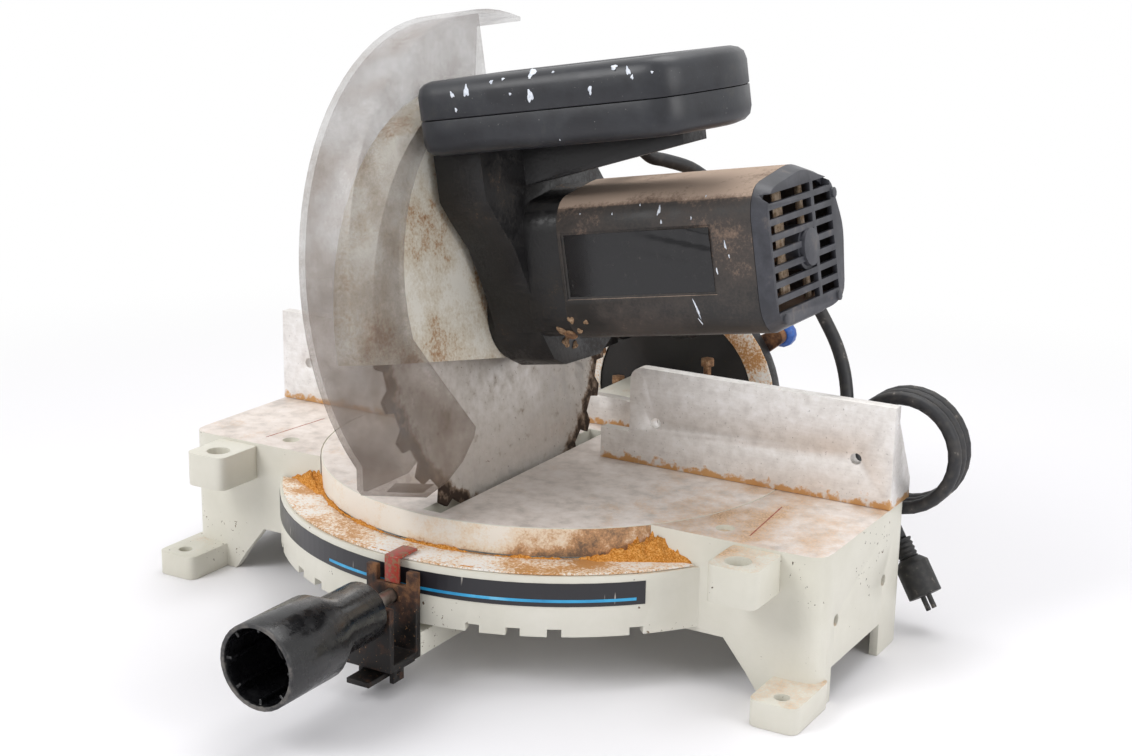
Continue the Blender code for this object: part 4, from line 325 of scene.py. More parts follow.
def clothe(material, *names, edge=0.0005, crease=38):
    """Give CAD nodes a finish, break their sharp edges by so much and shade the rest smooth."""
    for name in names:
        solid = nodes[name]
        solid.data.materials.clear()
        solid.data.materials.append(material)
        solid.data.polygons.foreach_set("use_smooth", [True] * len(solid.data.polygons))
        weld = solid.modifiers.new("weld", "WELD")
        weld.merge_threshold = 0.00001
        flats = solid.modifiers.new("flats", "DECIMATE")
        flats.decimate_type = "DISSOLVE"
        flats.angle_limit = math.radians(0.6)
        rounding = solid.modifiers.new("rounding", "BEVEL")
        rounding.width = edge
        rounding.segments = 2
        rounding.limit_method = "ANGLE"
        rounding.angle_limit = math.radians(crease)
        creases = solid.modifiers.new("creases", "EDGE_SPLIT")
        creases.split_angle = math.radians(crease + 8)


clothe(rubber, "plug_sleeve", "plug", "strain_relief")


# Base casting: one aluminium casting with four feet, a ring round the turntable and two
# wings. It is sprayed in pale warm grey enamel, and the wings' tops are machined bare.
FENCE_Y = 0.0529             # the fence's face and the turntable's axis
TABLE_TOP = 0.088

enamel, tree, shader, place = finish("sprayed_enamel_on_casting", Specular_IOR_Level=0.45)
parts = node(tree, "ShaderNodeSeparateXYZ", {0: place})
face = node(tree, "ShaderNodeSeparateXYZ", {0: node(tree, "ShaderNodeNewGeometry").outputs["Normal"]})
# Enamel yellows unevenly, here over about 80 mm, and dark chips of 1 to 3 mm show the casting.
stain = noise(tree, place, 13, 5, 0.6)
coat = node(tree, "ShaderNodeValToRGB", {0: stain},
            ((0.30, "#cfccbe"), (0.55, "#dad7cb"), (0.75, "#e1ded4")))
speck = noise(tree, place, 330, 3, 0.6)
patch = noise(tree, place, 22, 2)
chips = maths(tree, "ADD", speck, ranged(tree, patch, 0.42, 0.62, -0.12, 0.055))
chipped = ranged(tree, chips, 0.705, 0.73)
chip_colour = node(tree, "ShaderNodeValToRGB", {0: stain}, ((0.4, "#2e2a24"), (0.6, "#6b5138")))
painted = node(tree, "ShaderNodeMix", {0: chipped, 6: coat, 7: chip_colour}, data_type="RGBA")
# The machined tops are grey aluminium with dark pits of one or two millimetres.
pits = noise(tree, place, 520, 4, 0.7)
cloud = noise(tree, place, 95, 6, 0.6)
metal = node(tree, "ShaderNodeValToRGB", {0: cloud},
             ((0.30, "#c3b9b1"), (0.50, "#ddd2ca"), (0.68, "#e8dfd9")))
pitted = ranged(tree, pits, 0.64, 0.76, top=0.6)
bare = node(tree, "ShaderNodeMix", {0: pitted, 6: metal, 7: linear("#5d554e")}, data_type="RGBA")
low = maths(tree, "GREATER_THAN", parts.outputs["Z"], TABLE_TOP - 0.0004)
high = maths(tree, "LESS_THAN", parts.outputs["Z"], TABLE_TOP + 0.0004)
flat = maths(tree, "MULTIPLY", low, high)
level = maths(tree, "GREATER_THAN", face.outputs["Z"], 0.9)
machined = maths(tree, "MULTIPLY", flat, level)
surface = node(tree, "ShaderNodeMix", {0: machined, 6: painted, 7: bare}, data_type="RGBA")
# Orange-brown sawdust settles on level faces, thickest on the right wing beside the table.
right_side = ranged(tree, parts.outputs["X"], 0.06, 0.17, -0.16, 0.14,
                    interpolation_type="SMOOTHSTEP")
beyond = ranged(tree, parts.outputs["X"], 0.165, 0.19, top=-0.12, interpolation_type="SMOOTHSTEP")
grains = noise(tree, place, 900, 3)
drift = noise(tree, place, 40, 5, 0.65)
layer = maths(tree, "ADD", drift, right_side)
layer = maths(tree, "ADD", layer, beyond)
layer = maths(tree, "ADD", layer, ranged(tree, grains, 0, 1, -0.22, 0.22))
lying = ranged(tree, face.outputs["Z"], 0.55, 0.95)
dusted = ranged(tree, layer, 0.44, 0.76, top=0.85)
dusted = maths(tree, "MULTIPLY", dusted, lying)
dust_colour = node(tree, "ShaderNodeValToRGB", {0: grains}, ((0.35, "#a87a4d"), (0.62, "#dcb892")))
surface = node(tree, "ShaderNodeMix", {0: dusted, 6: surface, 7: dust_colour}, data_type="RGBA")
gloss = ranged(tree, stain, 0, 1, 0.30, 0.52)
gloss = maths(tree, "MAXIMUM", gloss, dusted)
relief = maths(tree, "SUBTRACT", noise(tree, place, 480, 2), chipped)
drive(tree, shader, colour=surface, rough=gloss, relief=(relief, 0.22, 0.0004))
clothe(enamel, "base_casting")


def on_ring(radius, degrees, z):
    """A point on a cylinder about the turntable's axis; degrees run to the right from the front."""
    turn = math.radians(degrees)
    return Vector((radius * math.sin(turn), FENCE_Y - radius * math.cos(turn), z))


def bent_strip(name, radius, thickness, start, end, bottom, top, material, step=2):
    """A closed strip that lies on the outside of the ring."""
    form = bmesh.new()
    count = max(2, round((end - start) / step))
    outer = radius + thickness
    rows = []
    for i in range(count + 1):
        turn = start + (end - start) * i / count
        rows.append([form.verts.new(on_ring(r, turn, z))
                     for r, z in ((radius, bottom), (outer, bottom), (outer, top), (radius, top))])
    for left, right in zip(rows, rows[1:]):
        for k in range(4):
            form.faces.new((left[k - 1], left[k], right[k], right[k - 1]))
    form.faces.new(rows[0])
    form.faces.new(rows[-1])
    return shape(name, form, material, smooth=False)


RING_RADIUS = 0.17535
vinyl, tree, shader, place = finish("printed_vinyl_band", Roughness=0.3)
# The band's print is scraped through in short upright streaks about a millimetre wide.
stretched = node(tree, "ShaderNodeMapping", {0: place, 3: (420, 420, 46)})
streak = noise(tree, stretched, 1, 2)
where = noise(tree, place, 24, 1)
scraped = maths(tree, "MULTIPLY", streak, where)
film = node(tree, "ShaderNodeValToRGB", {0: scraped},
            ((0.375, "#232227"), (0.40, "#8d8882"), (0.44, "#d6d1c8")))
drive(tree, shader, colour=film)
band = bent_strip("ring_band", RING_RADIUS - 0.0002, 0.0005, -74, 46.5, 0.0520, 0.0655, vinyl)
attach(band, "base")
blue_ink = mottled("blue_vinyl_line", 60, 3, ((0.3, "#1d86bb"), (0.6, "#38a9dc"), (0.8, "#8fd2ee")),
                   Roughness=0.3)
line = bent_strip("ring_blue_line", RING_RADIUS + 0.0003, 0.0001, -18, 44.8, 0.0545, 0.0562, blue_ink)
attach(line, "base")

# Cut lines: two grooves filled with red paint show the blade's path on the wings.
red_groove = mottled("red_filled_groove", 500, 3, ((0.40, "#8d3a2c"), (0.62, "#b9745c")),
                     Roughness=0.7)
for side, word in ((-1, "left"), (1, "right")):
    form = bmesh.new()
    start = Vector((side * 0.1705, -0.0285, TABLE_TOP))
    end = Vector((side * 0.1655, 0.0259, TABLE_TOP))
    for i in range(13):
        middle = start.lerp(end, i / 12)
        half = 0.00045 if i % 3 else 0.0003
        for dx, dz in ((-half, -0.0001), (half, -0.0001), (half, 0.00008), (-half, 0.00008)):
            form.verts.new(middle + Vector((dx, 0, dz)))
    form.verts.ensure_lookup_table()
    for i in range(12):
        a, b = 4 * i, 4 * i + 4
        for k in range(4):
            form.faces.new([form.verts[n] for n in (a + k, a + (k + 1) % 4, b + (k + 1) % 4, b + k)])
    form.faces.new(form.verts[:4])
    form.faces.new(form.verts[-4:])
    groove = shape(f"cut_line_{word}", form, red_groove, smooth=False)
    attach(groove, "base")

# Sawdust: loose orange softwood dust, heaped where the ring meets the wings and drawn out
# along the foot of the turntable's rim.
sawdust = mottled("softwood_sawdust", 1100, 4,
                  ((0.30, "#9a5a1c"), (0.48, "#d38a3a"), (0.62, "#eeb469")),
                  grit=0.7, relief=(0.9, 0.0008), Roughness=0.95, Specular_IOR_Level=0.1)


def quads(form, rows):
    """Faces between each row of corners and the next."""
    for a, b in zip(rows, rows[1:]):
        for c in range(len(a) - 1):
            form.faces.new((a[c], b[c], b[c + 1], a[c + 1]))


def rough_noise(point, scale, seed):
    """A value from -1 to 1 that changes smoothly from place to place."""
    value = 0
    for k, share in ((1, 0.6), (2.3, 0.3), (5.1, 0.1)):
        p = point * scale * k
        value += (share * math.sin(p.x * 1.7 + seed) * math.cos(p.y * 2.1 - seed)
                  * math.sin(p.z + seed * 2 + 1))
    return max(-1, min(1, value * 2.2))


LEDGE_TOP = 0.0704
RIM_RADIUS = 0.1494
WING_FRONT = 0.0945          # from the turntable's axis to the wings' front walls
for word, side, start, height, reach in (("left", -1, 41, 0.0105, 0.0200),
                                         ("right", 1, 35.5, 0.0150, 0.0225)):
    form = bmesh.new()
    rows = []
    across, along = 22, 40
    for i in range(along + 1):
        nearness = i / along
        row = []
        for j in range(across + 1):
            out = j / across
            radius = RIM_RADIUS - 0.0003 + reach * (0.34 + 0.66 * nearness ** 2.5) * out
            wall = math.degrees(math.acos(WING_FRONT / radius))
            spot = on_ring(radius, side * (start + (wall - start) * nearness), 0)
            lump = 0.80 + 0.34 * rough_noise(spot, 210, 2) + 0.16 * rough_noise(spot, 900, 5)
            top = height * lump * nearness ** 1.1 * (1 - out) ** 0.75
            row.append(form.verts.new(Vector((spot.x, spot.y, LEDGE_TOP - 0.0002 + max(0, top)))))
        rows.append(row)
    quads(form, rows)
    pile = shape(f"sawdust_heap_{word}", form, sawdust)
    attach(pile, "base")
for word, start, end, width, height in (("inner", -50, 50, 0.0032, 0.0019),
                                        ("outer", -40, 47, 0.0016, 0.0007)):
    form = bmesh.new()
    rows = []
    base_radius = RIM_RADIUS + (0 if word == "inner" else 0.0218)
    for i in range(241):
        turn = start + (end - start) * i / 240
        spot = on_ring(base_radius, turn, 0)
        amount = max(0.12, 0.55 + 0.75 * rough_noise(spot, 60, 7) + 0.35 * rough_noise(spot, 600, 3))
        row = []
        for out, up in ((-0.08, 0), (0.0, 0.75), (0.22, 1), (0.6, 0.5), (1, -0.2)):
            at = on_ring(base_radius + width * amount * out, turn,
                         LEDGE_TOP - 0.0002 + height * amount * up)
            row.append(form.verts.new(at))
        rows.append(row)
    quads(form, rows)
    trail = shape(f"sawdust_trail_{word}", form, sawdust)
    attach(trail, "base")


# Mitre scale: a printed white plate on the ring's ledge, with a tick for each degree, blue
# triangles at the usual angles and plain numbers. Dust hides much of it.
scale_white, tree, shader, place = finish("printed_white_scale", Roughness=0.42)
grains = noise(tree, place, 700, 4, 0.65)
drift = noise(tree, place, 38, 4)
amount = maths(tree, "ADD", grains, drift)
dusty = node(tree, "ShaderNodeValToRGB", {0: maths(tree, "MULTIPLY", amount, 0.5)},
             ((0.44, "#efeae4"), (0.50, "#e8cdb0"), (0.56, "#c38d55")))
drive(tree, shader, colour=dusty, relief=(amount, 0.3, 0.0004))
clothe(scale_white, "mitre_scale", "bevel_scale")

ink = mottled("black_scale_ink", 320, 3, ((0.45, "#2c2a2b"), (0.72, "#a1907e")), Roughness=0.6)
INK_HEIGHT = 0.0001
TICK_RADIUS = 0.1738
TICK_HALF_DEGREES = 0.10
BLOCK_SIDES = ((0, 1, 2, 3), (4, 5, 6, 7), (0, 1, 5, 4), (1, 2, 6, 5), (2, 3, 7, 6), (3, 0, 4, 7))
form = bmesh.new()
for degree in range(-50, 51):
    inner = TICK_RADIUS - (0.0065 if degree % 5 == 0 else 0.0040)
    corners = [form.verts.new(on_ring(radius, degree + aside * TICK_HALF_DEGREES, LEDGE_TOP + height))
               for height in (0, INK_HEIGHT)
               for radius, aside in ((TICK_RADIUS, -1), (TICK_RADIUS, 1), (inner, 1), (inner, -1))]
    for around in BLOCK_SIDES:
        form.faces.new([corners[n] for n in around])
ticks = shape("mitre_scale_ticks", form, ink, smooth=False)
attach(ticks, "base")
blue_print = mottled("blue_scale_ink", 300, 3, ((0.40, "#2f5f9c"), (0.68, "#7f9cc0")), Roughness=0.5)
form = bmesh.new()
TRIANGLE = ((0.1662, 0), (0.1608, -1), (0.1608, 1))      # each corner's radius and degrees aside
for degree in (-45, -30, -22.5, -15, 0, 15, 22.5, 30, 45):
    low, top = [[form.verts.new(on_ring(radius, degree + aside, LEDGE_TOP + height))
                 for radius, aside in TRIANGLE] for height in (0, INK_HEIGHT)]
    form.faces.new(low)
    form.faces.new(top)
    for a, b in ((0, 1), (1, 2), (2, 0)):
        form.faces.new((low[a], low[b], top[b], top[a]))
marks = shape("mitre_scale_triangles", form, blue_print, smooth=False)
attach(marks, "base")


NUMBER_HEIGHT = 0.0052
NUMBER_RADIUS = 0.1572


def numeral(name, words, place, turn):
    """A plain number, printed flat on the scale at a place and turned to face out."""
    text = bpy.data.curves.new(name, "FONT")
    text.body = words
    text.size = NUMBER_HEIGHT
    text.align_x = "CENTER"
    text.extrude = INK_HEIGHT / 2
    flat = bpy.data.objects.new(name, text)
    bpy.context.scene.collection.objects.link(flat)
    bpy.context.view_layer.update()
    mesh = bpy.data.meshes.new_from_object(flat)
    bpy.data.objects.remove(flat)
    mesh.transform(Matrix.Translation(place) @ Matrix.Rotation(turn, 4, "Z"))
    mesh.materials.clear()
    mesh.materials.append(ink)
    piece = bpy.data.objects.new(name, mesh)
    bpy.context.scene.collection.objects.link(piece)
    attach(piece, "base")


for degree in (-45, -30, -15, 0, 15, 30, 45):
    numeral(f"mitre_number_{degree + 45}", str(abs(degree)),
            on_ring(NUMBER_RADIUS, degree, LEDGE_TOP), math.radians(degree))


# Fence: one aluminium bar, milled on its face and mottled grey by oxide, on a flange that is
# bolted to the wings. A low bow behind the blade joins its halves.
milled, tree, shader, place = finish("milled_aluminium_fence", Metallic=0.72)
stretched = node(tree, "ShaderNodeMapping", {0: place, 3: (60, 700, 700)})
brushed = noise(tree, stretched, 1, 3)
cloud = noise(tree, place, 130, 7, 0.66)
mottle = maths(tree, "ADD", cloud, ranged(tree, brushed, 0, 1, -0.10, 0.10))
tone = node(tree, "ShaderNodeValToRGB", {0: mottle},
            ((0.30, "#d8d3cf"), (0.50, "#e8e4e0"), (0.66, "#f2efed")))
pits = noise(tree, place, 620, 2)
pitted = ranged(tree, pits, 0.66, 0.76, top=0.5)
tone = node(tree, "ShaderNodeMix", {0: pitted, 6: tone, 7: linear("#86807a")}, data_type="RGBA")
# Sawdust clings to the foot of the fence, within about 6 mm of the table.
height = node(tree, "ShaderNodeSeparateXYZ", {0: place}).outputs["Z"]
near_foot = ranged(tree, height, 0.097, 0.089, top=0.30)
cling = maths(tree, "ADD", cloud, near_foot)
clung = ranged(tree, cling, 0.66, 0.76)
tone = node(tree, "ShaderNodeMix", {0: clung, 6: tone, 7: linear("#cfa16d")}, data_type="RGBA")
rough = ranged(tree, mottle, 0.3, 0.7, 0.50, 0.34)
drive(tree, shader, colour=tone, rough=rough, relief=(brushed, 0.15, 0.0003))
clothe(milled, "fence", edge=0.0003, crease=16)


# Turntable: a casting with its top turned flat, a slot for the blade, and an arm to the lock
# at the front and a neck for the head at the back. Same enamel, with brown grime on its rim.
clothe(enamel, "turntable")

# Rim grime: a thin skin of brown dust and scuffed paint on the turntable's visible rim.
rim_coat, tree, shader, place = finish("grimy_enamel_rim", Roughness=0.55)
parts = node(tree, "ShaderNodeSeparateXYZ", {0: place})
cloud = noise(tree, place, 34, 7, 0.7)
grains = noise(tree, place, 800, 4, 0.7)
to_right = ranged(tree, parts.outputs["X"], 0.02, 0.12, -0.15, 0.17)
grime = maths(tree, "ADD", cloud, to_right)
grime = maths(tree, "ADD", grime, ranged(tree, grains, 0, 1, -0.16, 0.16))
low_edge = ranged(tree, parts.outputs["Z"], 0.0785, 0.0715, top=0.12)
grime = maths(tree, "ADD", grime, low_edge)
tone = node(tree, "ShaderNodeValToRGB", {0: grime},
            ((0.40, "#ece5da"), (0.53, "#e5d2b9"), (0.64, "#c0946a"), (0.76, "#74604f")))
drive(tree, shader, colour=tone, relief=(grains, 0.4, 0.0004))
rim = bent_strip("turntable_rim_skin", 0.1490, 0.00045, -78, 78, 0.0715, 0.0876, rim_coat)
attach(rim, "turntable")


# Mitre lock: a pressed steel bracket under the arm, blacked and now rusting, with a red
# pointer over the scale, a screw with a long moulded knob, and a flat detent lever.
blacked, tree, shader, place = finish("rusting_blacked_steel", Metallic=0.35)
cloud = noise(tree, place, 75, 7, 0.72)
grains = noise(tree, place, 700, 3)
rise = node(tree, "ShaderNodeSeparateXYZ", {0: place}).outputs["Z"]
upward = ranged(tree, rise, 0.040, 0.060, -0.10, 0.12)
amount = maths(tree, "ADD", cloud, upward)
tone = node(tree, "ShaderNodeValToRGB", {0: amount},
            ((0.46, "#1d1a19"), (0.58, "#4a3226"), (0.72, "#8a6243")))
dots = ranged(tree, grains, 0.66, 0.74, top=0.8)
tone = node(tree, "ShaderNodeMix", {0: dots, 6: tone, 7: linear("#b58a62")}, data_type="RGBA")
rough = ranged(tree, amount, 0.4, 0.7, 0.40, 0.85)
drive(tree, shader, colour=tone, rough=rough, relief=(cloud, 0.35, 0.0004))
clothe(blacked, "lock_bracket", "detent_lever", "bevel_lock_lever", "chop_return_spring",
       "arbor_bolt")

red_enamel = mottled("red_enamel_pointer", 420, 3,
                     ((0.42, "#8d6247"), (0.52, "#9c3b2d"), (0.60, "#b23328"), (0.70, "#7b523c")),
                     Roughness=0.35)
clothe(red_enamel, "mitre_pointer")

steel = mottled("zinc_plated_steel", 210, 5,
                ((0.35, "#8f877d"), (0.52, "#b9b3ab"), (0.68, "#cdc8c1")),
                grit=0.65, rough=(0.22, 0.58), Metallic=1.0)
clothe(steel, "fence_bolt_1", "fence_bolt_2", "fence_bolt_3", "fence_bolt_4", "table_pivot_bolt",
       "bevel_lock_stud", "bevel_lock_washer", "lock_screw", "chop_shaft", "head_lock_pin",
       "arbor_bearing", "nose_bearing", "rear_bearing", "arbor_shaft", "inner_flange",
       "outer_flange", "guard_pivot_screw", "arbor_gear", "drive_pinion")

# The knob is black phenolic, polished by hands; its open lip is rubbed dull and grey.
KNOB_LIP_Y = -0.2451
phenolic, tree, shader, place = finish("moulded_black_phenolic", Specular_IOR_Level=0.55)
along = node(tree, "ShaderNodeSeparateXYZ", {0: place}).outputs["Y"]
cloud = noise(tree, place, 120, 6, 0.7)
lip = ranged(tree, along, KNOB_LIP_Y + 0.0022, KNOB_LIP_Y, top=0.26)
rub = maths(tree, "ADD", cloud, lip)
tone = node(tree, "ShaderNodeValToRGB", {0: rub},
            ((0.58, "#101012"), (0.70, "#232325"), (0.82, "#5c5854")))
rough = ranged(tree, rub, 0.35, 0.75, 0.11, 0.48)
drive(tree, shader, colour=tone, rough=rough, relief=(cloud, 0.08, 0.0004))
clothe(phenolic, "lock_knob")


# Bevel arm: a black-painted casting behind the neck with a white scale, two machined lugs for
# the head's shaft, hexagon stop bolts, and a lever with a blue plastic grip.
EU = Vector((0.9876883, 0, 0.1564345))       # across the blade, to the right
EV = Vector((-0.1564345, 0, 0.9876883))      # up in the blade's plane


def head_place(across, back, up):
    """A point of the tilted head, from its place across, behind and above the table's centre."""
    return EU * across + EV * up + Vector((0, FENCE_Y + back, TABLE_TOP))


black_paint, tree, shader, place = finish("black_painted_casting", Specular_IOR_Level=0.45)
cloud = noise(tree, place, 28, 7, 0.68)
grains = noise(tree, place, 520, 4, 0.7)
face = node(tree, "ShaderNodeSeparateXYZ", {0: node(tree, "ShaderNodeNewGeometry").outputs["Normal"]})
lying = ranged(tree, face.outputs["Z"], 0.2, 0.95, top=0.13)
dust = maths(tree, "ADD", cloud, lying)
dust = maths(tree, "ADD", dust, ranged(tree, grains, 0, 1, -0.28, 0.28))
tone = node(tree, "ShaderNodeValToRGB", {0: dust},
            ((0.54, "#161516"), (0.66, "#2a2623"), (0.76, "#5d4b3d"), (0.88, "#a9886b")))
rough = ranged(tree, dust, 0.45, 0.75, 0.33, 0.9)
cast = noise(tree, place, 420, 2)
drive(tree, shader, colour=tone, rough=rough, relief=(cast, 0.22, 0.0005))
clothe(black_paint, "bevel_arm", "gear_case")

rusty = mottled("rusty_steel_bolt", 260, 6, ((0.36, "#5d4433"), (0.52, "#8d6a4c"), (0.68, "#b89c7d")),
                grit=0.7, rough=(0.5, 0.9), relief=(0.4, 0.0004), Metallic=0.4)
clothe(rusty, "bevel_stop_left", "bevel_stop_right", "depth_stop_bolt")

blue_grip = mottled("blue_polyethylene_grip", 260, 4,
                    ((0.45, "#1f4f9e"), (0.62, "#2c62b4"), (0.76, "#8b97a8")),
                    Roughness=0.35)
clothe(blue_grip, "bevel_lock_knob")


# Blade: a ground steel plate with carbide-tipped teeth, darkened brown at the teeth partly by resin
# and rust and partly by painted shade, freckled with rust, and clamped between two steel flanges by a
# black bolt.
ARBOR = head_place(0, -0.0497, 0.097)
ground, tree, shader, place = finish("ground_saw_plate", Metallic=0.75)
arm = node(tree, "ShaderNodeVectorMath", {0: place, 1: ARBOR}, operation="SUBTRACT")
arm = node(tree, "ShaderNodeVectorMath", {0: arm, 1: EU}, operation="CROSS_PRODUCT")
out = node(tree, "ShaderNodeVectorMath", {0: arm}, operation="LENGTH").outputs["Value"]
cloud = noise(tree, place, 150, 7, 0.6)
freckle = noise(tree, place, 420, 3, 0.6)
rings = node(tree, "ShaderNodeTexNoise", {"W": maths(tree, "MULTIPLY", out, 2600),
                                          "Scale": 1.0, "Detail": 2}, noise_dimensions="1D")
# edge and stain: a darker brown band painted round the teeth, partly resin and rust, partly painted
# shade where the teeth lie in shadow.
edge = ranged(tree, out, 0.106, 0.117, top=0.42, interpolation_type="SMOOTHSTEP")
stain = maths(tree, "ADD", cloud, edge)
tone = node(tree, "ShaderNodeValToRGB", {0: stain},
            ((0.30, "#d2cdc9"), (0.62, "#c3bdb6"), (0.78, "#8a7767"), (0.92, "#40332b")))
spots = ranged(tree, freckle, 0.665, 0.71, top=0.85)
tone = node(tree, "ShaderNodeMix", {0: spots, 6: tone, 7: linear("#6b523f")}, data_type="RGBA")
rough = ranged(tree, stain, 0.35, 0.8, 0.34, 0.8)
drive(tree, shader, colour=tone, rough=rough, relief=(rings, 0.12, 0.0002))
clothe(ground, "blade")


# Upper guard: a deep cast cover over the top half of the blade, enamelled like the base and
# powdered brown in patches of 20 to 40 mm.
hood_coat, tree, shader, place = finish("dusty_enamel_hood", Specular_IOR_Level=0.4)
cloud = noise(tree, place, 24, 7, 0.65)
grains = noise(tree, place, 520, 4, 0.7)
amount = maths(tree, "ADD", cloud, ranged(tree, grains, 0, 1, -0.20, 0.20))
tone = node(tree, "ShaderNodeValToRGB", {0: amount},
            ((0.42, "#d9d5cb"), (0.56, "#c5bba9"), (0.66, "#a17f5f"), (0.76, "#5b4738")))
rough = ranged(tree, amount, 0, 1, 0.3, 0.8)
drive(tree, shader, colour=tone, rough=rough, relief=(grains, 0.2, 0.0004))
clothe(hood_coat, "upper_guard")


# Clear guard: moulded polycarbonate, hazed with fine scratches and coated inside with brown
# dust, so that the blade shows through it dimly.
smoky, tree, shader, place = finish("dusty_polycarbonate", Specular_IOR_Level=0.6)
shader.inputs["IOR"].default_value = 1.58
cloud = noise(tree, place, 30, 9, 0.66)
grains = noise(tree, place, 640, 4, 0.7)
parts = node(tree, "ShaderNodeSeparateXYZ", {0: place})
lower = ranged(tree, parts.outputs["Z"], 0.34, 0.12, -0.10, 0.16)
amount = maths(tree, "ADD", cloud, lower)
amount = maths(tree, "ADD", amount, ranged(tree, grains, 0, 1, -0.14, 0.14))
tone = node(tree, "ShaderNodeValToRGB", {0: amount},
            ((0.34, "#a19d9c"), (0.56, "#8a7c71"), (0.74, "#6a5748")))
veil = ranged(tree, amount, 0.30, 0.80, 0.06, 0.40)
edge_on = node(tree, "ShaderNodeLayerWeight", {"Blend": 0.22})
veil = maths(tree, "ADD", veil, maths(tree, "MULTIPLY", edge_on.outputs["Facing"], 0.55))
tree.links.new(veil.outputs[0], shader.inputs["Alpha"])
rough = ranged(tree, amount, 0.3, 0.8, 0.08, 0.5)
drive(tree, shader, colour=tone, rough=rough)
clothe(smoky, "clear_guard")


# Motor: a tapered moulded housing on the gear case, with an inset front label plate left
# blank and glossy, a slotted end cap, and the copper and steel of the motor inside.
nylon, tree, shader, place = finish("glass_filled_black_nylon", Specular_IOR_Level=0.45)
cloud = noise(tree, place, 22, 7, 0.68)
grains = noise(tree, place, 560, 4, 0.7)
face = node(tree, "ShaderNodeSeparateXYZ", {0: node(tree, "ShaderNodeNewGeometry").outputs["Normal"]})
lying = ranged(tree, face.outputs["Z"], 0.45, 0.80, top=0.40, interpolation_type="SMOOTHSTEP")
parts = node(tree, "ShaderNodeSeparateXYZ", {0: place})
upper = ranged(tree, parts.outputs["Z"], 0.20, 0.28, -0.03, 0.06)
dust = maths(tree, "ADD", cloud, lying)
dust = maths(tree, "ADD", dust, upper)
dust = maths(tree, "ADD", dust, ranged(tree, grains, 0, 1, -0.20, 0.20))
tone = node(tree, "ShaderNodeValToRGB", {0: dust},
            ((0.40, "#262423"), (0.60, "#453e3a"), (0.76, "#8a7566"), (0.92, "#c4ad9b")))
rough = ranged(tree, dust, 0.4, 0.8, 0.40, 0.95)
drive(tree, shader, colour=tone, rough=rough, relief=(grains, 0.16, 0.0004))
clothe(nylon, "motor_housing")

satin = mottled("satin_grey_nylon", 60, 6, ((0.40, "#2d2e34"), (0.58, "#3d3e45"), (0.76, "#6f665f")),
                grit=0.7, relief=(0.15, 0.0003), Roughness=0.42)
clothe(satin, "motor_end_cap", "cooling_fan", "switch_body", "trigger", "spindle_lock_button")

copper, tree, shader, place = finish("enamelled_copper_wire", Metallic=0.8, Roughness=0.35)
wound = node(tree, "ShaderNodeTexWave", {"Vector": place, "Scale": 420, "Distortion": 1.5})
tone = node(tree, "ShaderNodeValToRGB", {0: wound},
            ((0.2, "#6f4a31"), (0.6, "#b3794f"), (0.9, "#cfa078")))
drive(tree, shader, colour=tone)
clothe(copper, "motor_stator", "armature")

# Two dusty ribs inside the motor, taken for its brush yoke, show through the cap's slots.
dusty_yoke = mottled("dusty_aluminium_yoke", 300, 6,
                     ((0.36, "#8a6f55"), (0.55, "#c9b299"), (0.70, "#e3d6c6")),
                     grit=0.7, relief=(0.6, 0.0006), Roughness=0.9)
form = bmesh.new()
for back, width, low, high in ((-0.0455, 0.0055, 0.098, 0.158), (-0.0155, 0.0035, 0.094, 0.162)):
    corners = []
    for across in (0.1865, 0.1885):
        for y, v in ((back - width, low), (back + width, low), (back + width, high),
                     (back - width, high)):
            corners.append(form.verts.new(head_place(across, y, v)))
    for around in BLOCK_SIDES:
        form.faces.new([corners[n] for n in around])
bmesh.ops.bevel(form, geom=form.edges[:], offset=0.0006, segments=2, affect="EDGES")
yoke = shape("brush_yoke_ribs", form, dusty_yoke)
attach(yoke, "head")


def surface_of(*names):
    """The faces of CAD nodes, to find where a line of sight meets them."""
    corners, faces = [], []
    for name in names:
        mesh = nodes[name].data
        faces += [[corner + len(corners) for corner in p.vertices] for p in mesh.polygons]
        corners += [v.co for v in mesh.vertices]
    return BVHTree.FromPolygons(corners, faces)


def spot_on(faces, across, down):
    """Where a pixel's line of sight meets a CAD node: the place and the face's direction."""
    place, normal, _, _ = faces.ray_cast(CAMERA_PLACE, sight(across, down))
    if place is not None and normal.dot(sight(across, down)) > 0:
        normal = -normal
    return place, normal


# The label plate is a black vinyl film in the housing's shallow recess; it carries no print
# here. Its upper right corner has wrinkled and lifted a little, and catches the light.
film = mottled("glossy_black_label_film", 380, 5,
               ((0.60, "#131315"), (0.70, "#2c2a29"), (0.78, "#a29c95")),
               grit=0.7, Roughness=0.14, Coat_Weight=0.15, Specular_IOR_Level=0.4)
housing = surface_of("motor_housing")
LABEL = (0.0735, 0.1645, 0.1105, 0.1455)     # across from and to, up from and to
columns, rows = 60, 26
form = bmesh.new()
grid = []
for j in range(rows + 1):
    line = []
    for i in range(columns + 1):
        share, rise = i / columns, j / rows
        across = LABEL[0] + (LABEL[1] - LABEL[0]) * share
        up = LABEL[2] + (LABEL[3] - LABEL[2]) * rise
        place, normal, _, _ = housing.ray_cast(head_place(across, -0.12, up), Vector((0, 1, 0)))
        fold = max(0, share - 0.45) * max(0, rise - 0.35) * 3
        wave = math.sin(34 * share + 9 * rise) * math.cos(13 * rise - 20 * share)
        lift = 0.00025 + 0.0007 * fold * (1 + wave)
        line.append(form.verts.new(place + normal * lift))
    grid.append(line)
for lower, upper in zip(grid, grid[1:]):
    for i in range(columns):
        form.faces.new((lower[i], lower[i + 1], upper[i + 1], upper[i]))
label = shape("blank_label_film", form, film)
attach(label, "head")

